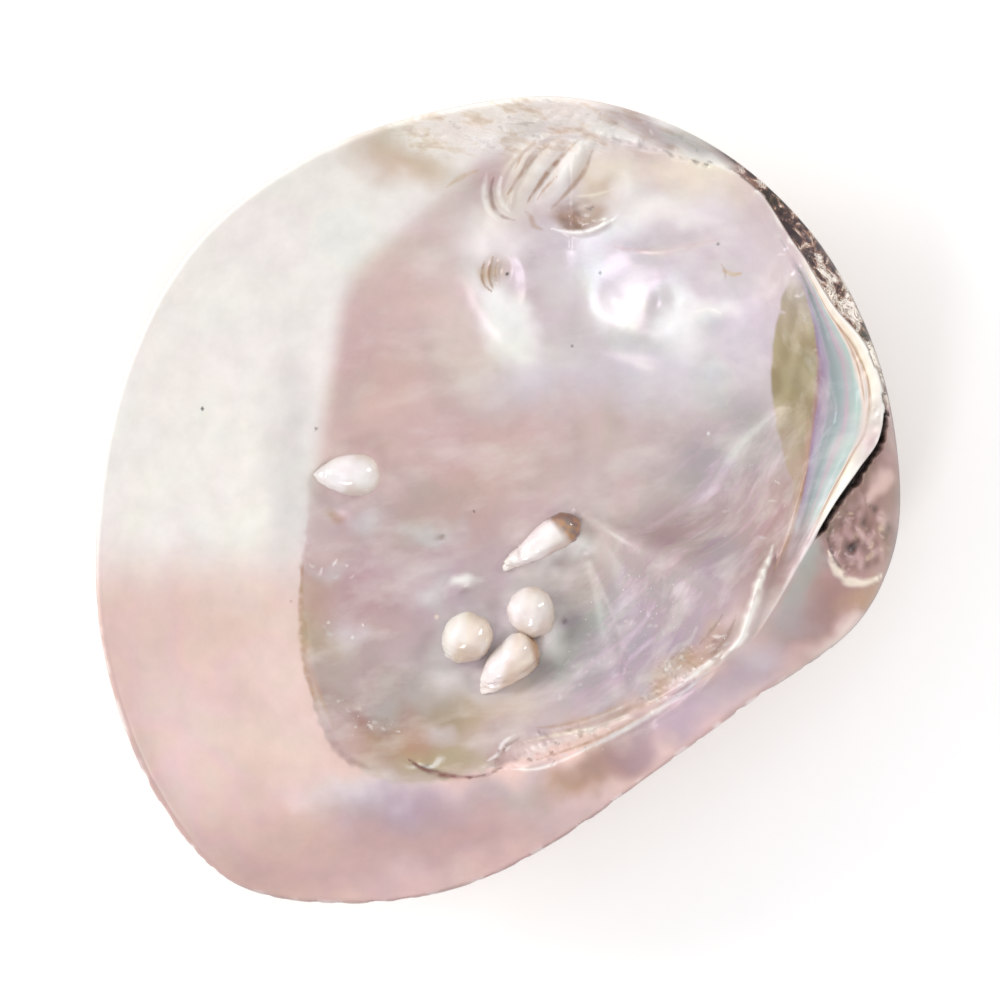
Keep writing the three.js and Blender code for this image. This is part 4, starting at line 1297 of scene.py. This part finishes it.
def tile_lights(tree, layer):
    """Soft lights of the tiles: pink, green and lilac drift over the tint in patches."""
    lights = add_node(tree, "ShaderNodeTexNoise", {}, {
        "Vector": layer["place"], "Scale": per_mm(LIGHT_PATCH), "Detail": 3,
        "Roughness": 0.45})
    share = add_node(tree, "ShaderNodeMath", {"operation": "MULTIPLY_ADD"}, {
        0: layer["satin"], 1: -0.10, 2: 0.17})
    drift = add_node(tree, "ShaderNodeMix", {"data_type": "RGBA"}, {
        "Factor": share.outputs[0], "A": (1, 1, 1, 1), "B": lights.outputs["Color"]})
    colour = add_node(tree, "ShaderNodeMix", {"data_type": "RGBA", "blend_type": "MULTIPLY"}, {
        "Factor": 1.0, "A": layer["tint"], "B": drift.outputs["Result"]})
    return colour.outputs["Result"], lights.outputs["Fac"]


def clouded(tree, layer, colour):
    """Clouds, where the tiles lie a little thicker or thinner."""
    clouds = add_node(tree, "ShaderNodeTexNoise", {}, {
        "Vector": layer["place"], "Scale": per_mm(CLOUD), "Detail": 6, "Roughness": 0.6})
    light = add_node(tree, "ShaderNodeMapRange", {}, {
        "Value": clouds.outputs["Fac"], "From Min": 0.3, "From Max": 0.7,
        "To Min": 0.97, "To Max": 1.09})
    colour = add_node(tree, "ShaderNodeVectorMath", {"operation": "SCALE"}, {
        0: colour, "Scale": light.outputs["Result"]})
    return colour.outputs["Vector"], clouds.outputs["Fac"]


def streaked(tree, layer, colour):
    """Streaks of the hind wall, six times as long as they are wide."""
    turned = add_node(tree, "ShaderNodeMapping", {"vector_type": "TEXTURE"}, {
        "Vector": layer["place"], "Rotation": (0, 0, math.radians(40)), "Scale": (6, 1, 1)})
    streaks = add_node(tree, "ShaderNodeTexNoise", {}, {
        "Vector": turned.outputs["Vector"], "Scale": per_mm(STREAK), "Detail": 4,
        "Roughness": 0.55, "Distortion": 0.15})
    hues = add_node(tree, "ShaderNodeValToRGB", {}, {
        "Fac": streaks.outputs["Fac"]}, STREAK_HUES)
    share = add_node(tree, "ShaderNodeMath", {"operation": "MULTIPLY"}, {
        0: layer["streak"], 1: 0.4})
    colour = add_node(tree, "ShaderNodeMix", {"data_type": "RGBA"}, {
        "Factor": share.outputs[0], "A": colour, "B": hues.outputs["Color"]})
    return colour.outputs["Result"], streaks.outputs["Fac"]


def banded(tree, layer, colour):
    """Growth bands down the hinge plate: cream lip, teal and grey middle, lilac inside."""
    down = add_node(tree, "ShaderNodeMath", {"operation": "MULTIPLY"}, {
        0: layer["along"], 1: 0.05})
    across = add_node(tree, "ShaderNodeMath", {"operation": "MULTIPLY"}, {
        0: layer["share"], 1: 7})
    strip = add_node(tree, "ShaderNodeCombineXYZ", {}, {
        "X": across.outputs[0], "Y": down.outputs[0]})
    bands = add_node(tree, "ShaderNodeTexNoise", {}, {
        "Vector": strip.outputs["Vector"], "Scale": 0.7, "Detail": 4, "Roughness": 0.5})
    waver = add_node(tree, "ShaderNodeMath", {"operation": "MULTIPLY_ADD"}, {
        0: bands.outputs["Fac"], 1: 0.5, 2: -0.25})
    place = add_node(tree, "ShaderNodeMath", {"operation": "ADD"}, {
        0: layer["share"], 1: waver.outputs[0]})
    hues = add_node(tree, "ShaderNodeValToRGB", {}, {"Fac": place.outputs[0]}, PLATE_HUES)
    colour = add_node(tree, "ShaderNodeMix", {"data_type": "RGBA"}, {
        "Factor": layer["plate"], "A": colour, "B": hues.outputs["Color"]})
    return colour.outputs["Result"], bands.outputs["Fac"]


def slivered_with_glints(tree, layer, colour):
    """Layers split at the ground front edge: lengthwise slivers, some bright, some sandy; the
    bright milk and bone ones are partly the layers' own pale tone and partly painted glints on
    their facets.
    """
    turned = add_node(tree, "ShaderNodeMapping", {"vector_type": "TEXTURE"}, {
        "Vector": layer["place"], "Rotation": (0, 0, math.radians(-24)),
        "Scale": (2.6, 1, 1)})
    slivers = add_node(tree, "ShaderNodeTexNoise", {}, {
        "Vector": turned.outputs["Vector"], "Scale": per_mm(SLIVER), "Detail": 4,
        "Roughness": 0.6, "Distortion": 0.15})
    hues = add_node(tree, "ShaderNodeValToRGB", {}, {
        "Fac": slivers.outputs["Fac"]}, SLIVER_GLINT_HUES)
    share = add_node(tree, "ShaderNodeMath", {"operation": "MULTIPLY"}, {
        0: layer["flakes"], 1: 0.5})
    colour = add_node(tree, "ShaderNodeMix", {"data_type": "RGBA"}, {
        "Factor": share.outputs[0], "A": colour, "B": hues.outputs["Color"]})
    return colour.outputs["Result"], slivers.outputs["Fac"]


def flecked(tree, layer, colour):
    """Chalky flecks a fifth of a millimetre across, in one cell of four, where the surface
    has been worked."""
    grains = add_node(tree, "ShaderNodeTexVoronoi", {}, {
        "Vector": layer["place"], "Scale": per_mm(FLECK_SPACING), "Randomness": 1})
    dot = add_node(tree, "ShaderNodeMapRange", {}, {
        "Value": grains.outputs["Distance"], "From Min": 0.06, "From Max": 0.16,
        "To Min": 1, "To Max": 0})
    lot = add_node(tree, "ShaderNodeSeparateColor", {}, {"Color": grains.outputs["Color"]})
    chosen = add_node(tree, "ShaderNodeMapRange", {}, {
        "Value": lot.outputs["Red"], "From Min": 0.72, "From Max": 0.8})
    dots = add_node(tree, "ShaderNodeMath", {"operation": "MULTIPLY"}, {
        0: dot.outputs["Result"], 1: chosen.outputs["Result"]})
    share = add_node(tree, "ShaderNodeMath", {"operation": "MULTIPLY"}, {
        0: dots.outputs[0], 1: layer["flecks"]})
    return add_node(tree, "ShaderNodeMix", {"data_type": "RGBA"}, {
        "Factor": share.outputs[0], "A": colour, "B": (*nacre("milk"), 1)}).outputs["Result"]


def wisped(tree, layer, colour):
    """Faint milky wisps in the polish of the lining, drawn out along the growth."""
    drawn = add_node(tree, "ShaderNodeMapping", {"vector_type": "TEXTURE"}, {
        "Vector": layer["place"], "Rotation": (0, 0, math.radians(12)),
        "Scale": (2.2, 1, 1)})
    wisps = add_node(tree, "ShaderNodeTexNoise", {}, {
        "Vector": drawn.outputs["Vector"], "Scale": per_mm(WISP), "Detail": 5,
        "Roughness": 0.55, "Distortion": 0.1})
    milky = add_node(tree, "ShaderNodeMapRange", {}, {
        "Value": wisps.outputs["Fac"], "From Min": 0.48, "From Max": 0.72, "To Max": 0.3})
    share = add_node(tree, "ShaderNodeMath", {"operation": "MULTIPLY"}, {
        0: milky.outputs["Result"], 1: layer["lining"]})
    return add_node(tree, "ShaderNodeMix", {"data_type": "RGBA"}, {
        "Factor": share.outputs[0], "A": colour, "B": (*nacre("bone"), 1)}).outputs["Result"]


def lined(tree, layer, colour):
    """Growth lines of the polished back, from the beak outwards."""
    rings = add_node(tree, "ShaderNodeCombineXYZ", {}, {"X": layer["age"]})
    lines = add_node(tree, "ShaderNodeTexNoise", {}, {
        "Vector": rings.outputs["Vector"], "Scale": 2.4, "Detail": 7, "Roughness": 0.7})
    hues = add_node(tree, "ShaderNodeValToRGB", {}, {"Fac": lines.outputs["Fac"]}, BACK_HUES)
    return add_node(tree, "ShaderNodeMix", {"data_type": "RGBA", "blend_type": "MULTIPLY"}, {
        "Factor": layer["under"], "A": colour, "B": hues.outputs["Color"]}).outputs["Result"]


def skinned(tree, layer, colour):
    """Old horny skin: black brown where whole, worn to beige, split by dark cracks."""
    run = add_node(tree, "ShaderNodeMath", {"operation": "MULTIPLY"}, {
        0: layer["along"], 1: 0.22})
    rise = add_node(tree, "ShaderNodeMath", {"operation": "MULTIPLY"}, {
        0: layer["share"], 1: 2.6})
    grain = add_node(tree, "ShaderNodeCombineXYZ", {}, {
        "X": run.outputs[0], "Y": rise.outputs[0]})
    flaking = add_node(tree, "ShaderNodeTexNoise", {}, {
        "Vector": grain.outputs["Vector"], "Scale": 1.1, "Detail": 7, "Roughness": 0.68,
        "Distortion": 1.3})
    worn = add_node(tree, "ShaderNodeMath", {"operation": "MULTIPLY_ADD"}, {
        0: layer["dark"], 1: -0.13, 2: flaking.outputs["Fac"]})
    hues = add_node(tree, "ShaderNodeValToRGB", {}, {"Fac": worn.outputs[0]}, SKIN_HUES)
    colour = add_node(tree, "ShaderNodeMix", {"data_type": "RGBA"}, {
        "Factor": layer["skin"], "A": colour, "B": hues.outputs["Color"]})
    return colour.outputs["Result"], flaking.outputs["Fac"]


def finish_roughness(tree, layer, clouds):
    """Satin on the free band, a deeper polish in the basin, gloss on the pearls."""
    low, high = LINING_ROUGHNESS
    rough = add_node(tree, "ShaderNodeMapRange", {}, {
        "Value": clouds, "From Min": 0.3, "From Max": 0.7, "To Min": low, "To Max": high})
    rough = rough.outputs["Result"]
    for key, value in FINISHES:
        rough = add_node(tree, "ShaderNodeMix", {"data_type": "FLOAT"}, {
            "Factor": layer[key], "A": rough, "B": value}).outputs["Result"]
    return rough


def fine_relief(tree, layer, raised):
    """Polishing marks all over, and each pattern of the patches raised as strongly as said."""
    marks = add_node(tree, "ShaderNodeTexNoise", {}, {
        "Vector": layer["place"], "Scale": per_mm(POLISH_MARK), "Detail": 4})
    depth = add_node(tree, "ShaderNodeMath", {"operation": "MULTIPLY"}, {
        0: marks.outputs["Fac"], 1: 0.05}).outputs[0]
    for key, pattern, strength in raised:
        step = add_node(tree, "ShaderNodeMath", {"operation": "MULTIPLY"}, {
            0: pattern, 1: strength})
        depth = add_node(tree, "ShaderNodeMath", {"operation": "MULTIPLY_ADD"}, {
            0: step.outputs[0], 1: layer[key], 2: depth}).outputs[0]
    return add_node(tree, "ShaderNodeBump", {}, {
        "Height": depth, "Strength": 0.9, "Distance": RELIEF * MM}).outputs["Normal"]


def nacre_material():
    """Nacre, ground and polished: aragonite tiles under a clear gloss. The tiles give soft
    pink, green and lilac lights, and growth leaves faint bands, streaks and clouds."""
    material = bpy.data.materials.new("polished_nacre")
    material.use_nodes = True
    tree = material.node_tree
    tree.nodes.clear()
    layer = read_mesh(tree)
    colour, lights = tile_lights(tree, layer)
    colour, clouds = clouded(tree, layer, colour)
    colour, streaks = streaked(tree, layer, colour)
    colour, bands = banded(tree, layer, colour)
    colour, slivers = slivered_with_glints(tree, layer, colour)
    colour = flecked(tree, layer, colour)
    colour = wisped(tree, layer, colour)
    colour = lined(tree, layer, colour)
    colour, flaking = skinned(tree, layer, colour)
    rough = finish_roughness(tree, layer, clouds)
    normal = fine_relief(tree, layer, [("skin", flaking, 0.9), ("streak", streaks, 0.05),
                                       ("flakes", slivers, 0.75), ("plate", bands, 0.35)])

    # The outermost tiles vary from 330 to 560 nm, so the glints run from white to pink.
    film = add_node(tree, "ShaderNodeMapRange", {}, {
        "Value": lights, "From Min": 0.3, "From Max": 0.7, "To Min": 330, "To Max": 560})
    sheen = add_node(tree, "ShaderNodeMath", {"operation": "MULTIPLY_ADD"}, {
        0: layer["pearl"], 1: 0.5, 2: 0.18})
    shader = add_node(tree, "ShaderNodeBsdfPrincipled", {}, {
        "Base Color": colour, "Roughness": rough, "Normal": normal,
        "IOR": 1.6, "Coat Weight": sheen.outputs[0], "Coat Roughness": 0.2,
        "Thin Film Thickness": film.outputs["Result"], "Thin Film IOR": 1.55})
    add_node(tree, "ShaderNodeOutputMaterial", {}, {"Surface": shader.outputs["BSDF"]})
    return material


# ---- The set ------------------------------------------------------------------------

FLOOR_HALF = 3.0      # metres
CAMERA_RISE = 1.3     # metres above the valve's widest line
WIDEST_LINE = 28      # millimetres above the floor
SHARE_OF_VIEW = 0.806  # of the view's width, filled by the valve
ROOM_LIGHT = 0.74

# Name, place in metres, width and height, watts, colour.
SOFTBOXES = [
    ("left_softbox", (-0.78, 0.26, 0.40), (0.40, 0.40), 5.2, "fffdfa"),
    ("right_softbox", (0.76, 0.36, 0.42), (0.26, 0.34), 3.3, "fffefd"),
    ("lower_card", (-0.25, -0.68, 0.68), (0.22, 0.16), 1.7, "fdfdff"),
]


def paper_material():
    """Matt white paper, pressed with the faintest tooth, so it looks even and dry."""
    material = bpy.data.materials.new("matt_paper")
    material.use_nodes = True
    tree = material.node_tree
    shader = tree.nodes["Principled BSDF"]
    tooth = add_node(tree, "ShaderNodeTexNoise", {}, {"Scale": per_mm(PAPER_TOOTH), "Detail": 3})
    tone = add_node(tree, "ShaderNodeMapRange", {}, {
        "Value": tooth.outputs["Fac"], "To Min": 0.975, "To Max": 0.99})
    tree.links.new(tone.outputs["Result"], shader.inputs["Base Color"])
    shader.inputs["Roughness"].default_value = 0.9
    return material


def add_floor():
    half = FLOOR_HALF
    mesh = bpy.data.meshes.new("floor")
    corners = [(-half, -half, 0), (half, -half, 0), (half, half, 0), (-half, half, 0)]
    mesh.from_pydata(corners, [], [(0, 1, 2, 3)])
    floor = bpy.data.objects.new("floor", mesh)
    floor.location.z = VALVE_LOW[2]
    floor.data.materials.append(paper_material())
    bpy.context.collection.objects.link(floor)


def add_light():
    """Two softboxes and a card, all aimed at the valve, in a pale room."""
    for name, place, (width, height), power, colour in SOFTBOXES:
        light = bpy.data.lights.new(name, "AREA")
        light.shape = "RECTANGLE"
        light.size = width
        light.size_y = height
        light.energy = power
        light.color = pigment(colour)
        lamp = bpy.data.objects.new(name, light)
        lamp.location = place
        aim = Vector((0, 0, BOX_MIDDLE[2])) - Vector(place)
        lamp.rotation_euler = aim.to_track_quat("-Z", "Y").to_euler()
        bpy.context.collection.objects.link(lamp)
    world = bpy.data.worlds.new("soft_room")
    world.use_nodes = True
    background = world.node_tree.nodes["Background"]
    background.inputs["Color"].default_value = (1, 1, 1, 1)
    background.inputs["Strength"].default_value = ROOM_LIGHT
    bpy.context.scene.world = world
    bpy.context.scene.view_settings.view_transform = "Standard"


def add_camera():
    """Straight above, far enough off that the deep hollow keeps its proportions."""
    camera = bpy.data.cameras.new("camera")
    camera.sensor_width = 36
    camera.lens = camera.sensor_width * CAMERA_RISE * SHARE_OF_VIEW / (PLAN_WIDTH_MM * MM)
    holder = bpy.data.objects.new("camera", camera)
    widest_line = VALVE_LOW[2] + WIDEST_LINE * MM
    holder.location = (BOX_MIDDLE[0], BOX_MIDDLE[1], widest_line + CAMERA_RISE)
    bpy.context.collection.objects.link(holder)
    bpy.context.scene.camera = holder


add_camera()
valve = make_shell()
grow_together(valve, [make_pearl(index) for index in range(len(PEARLS))])
valve.data.materials.clear()
valve.data.materials.append(nacre_material())
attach(valve, "root")
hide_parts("valve")
add_floor()
add_light()
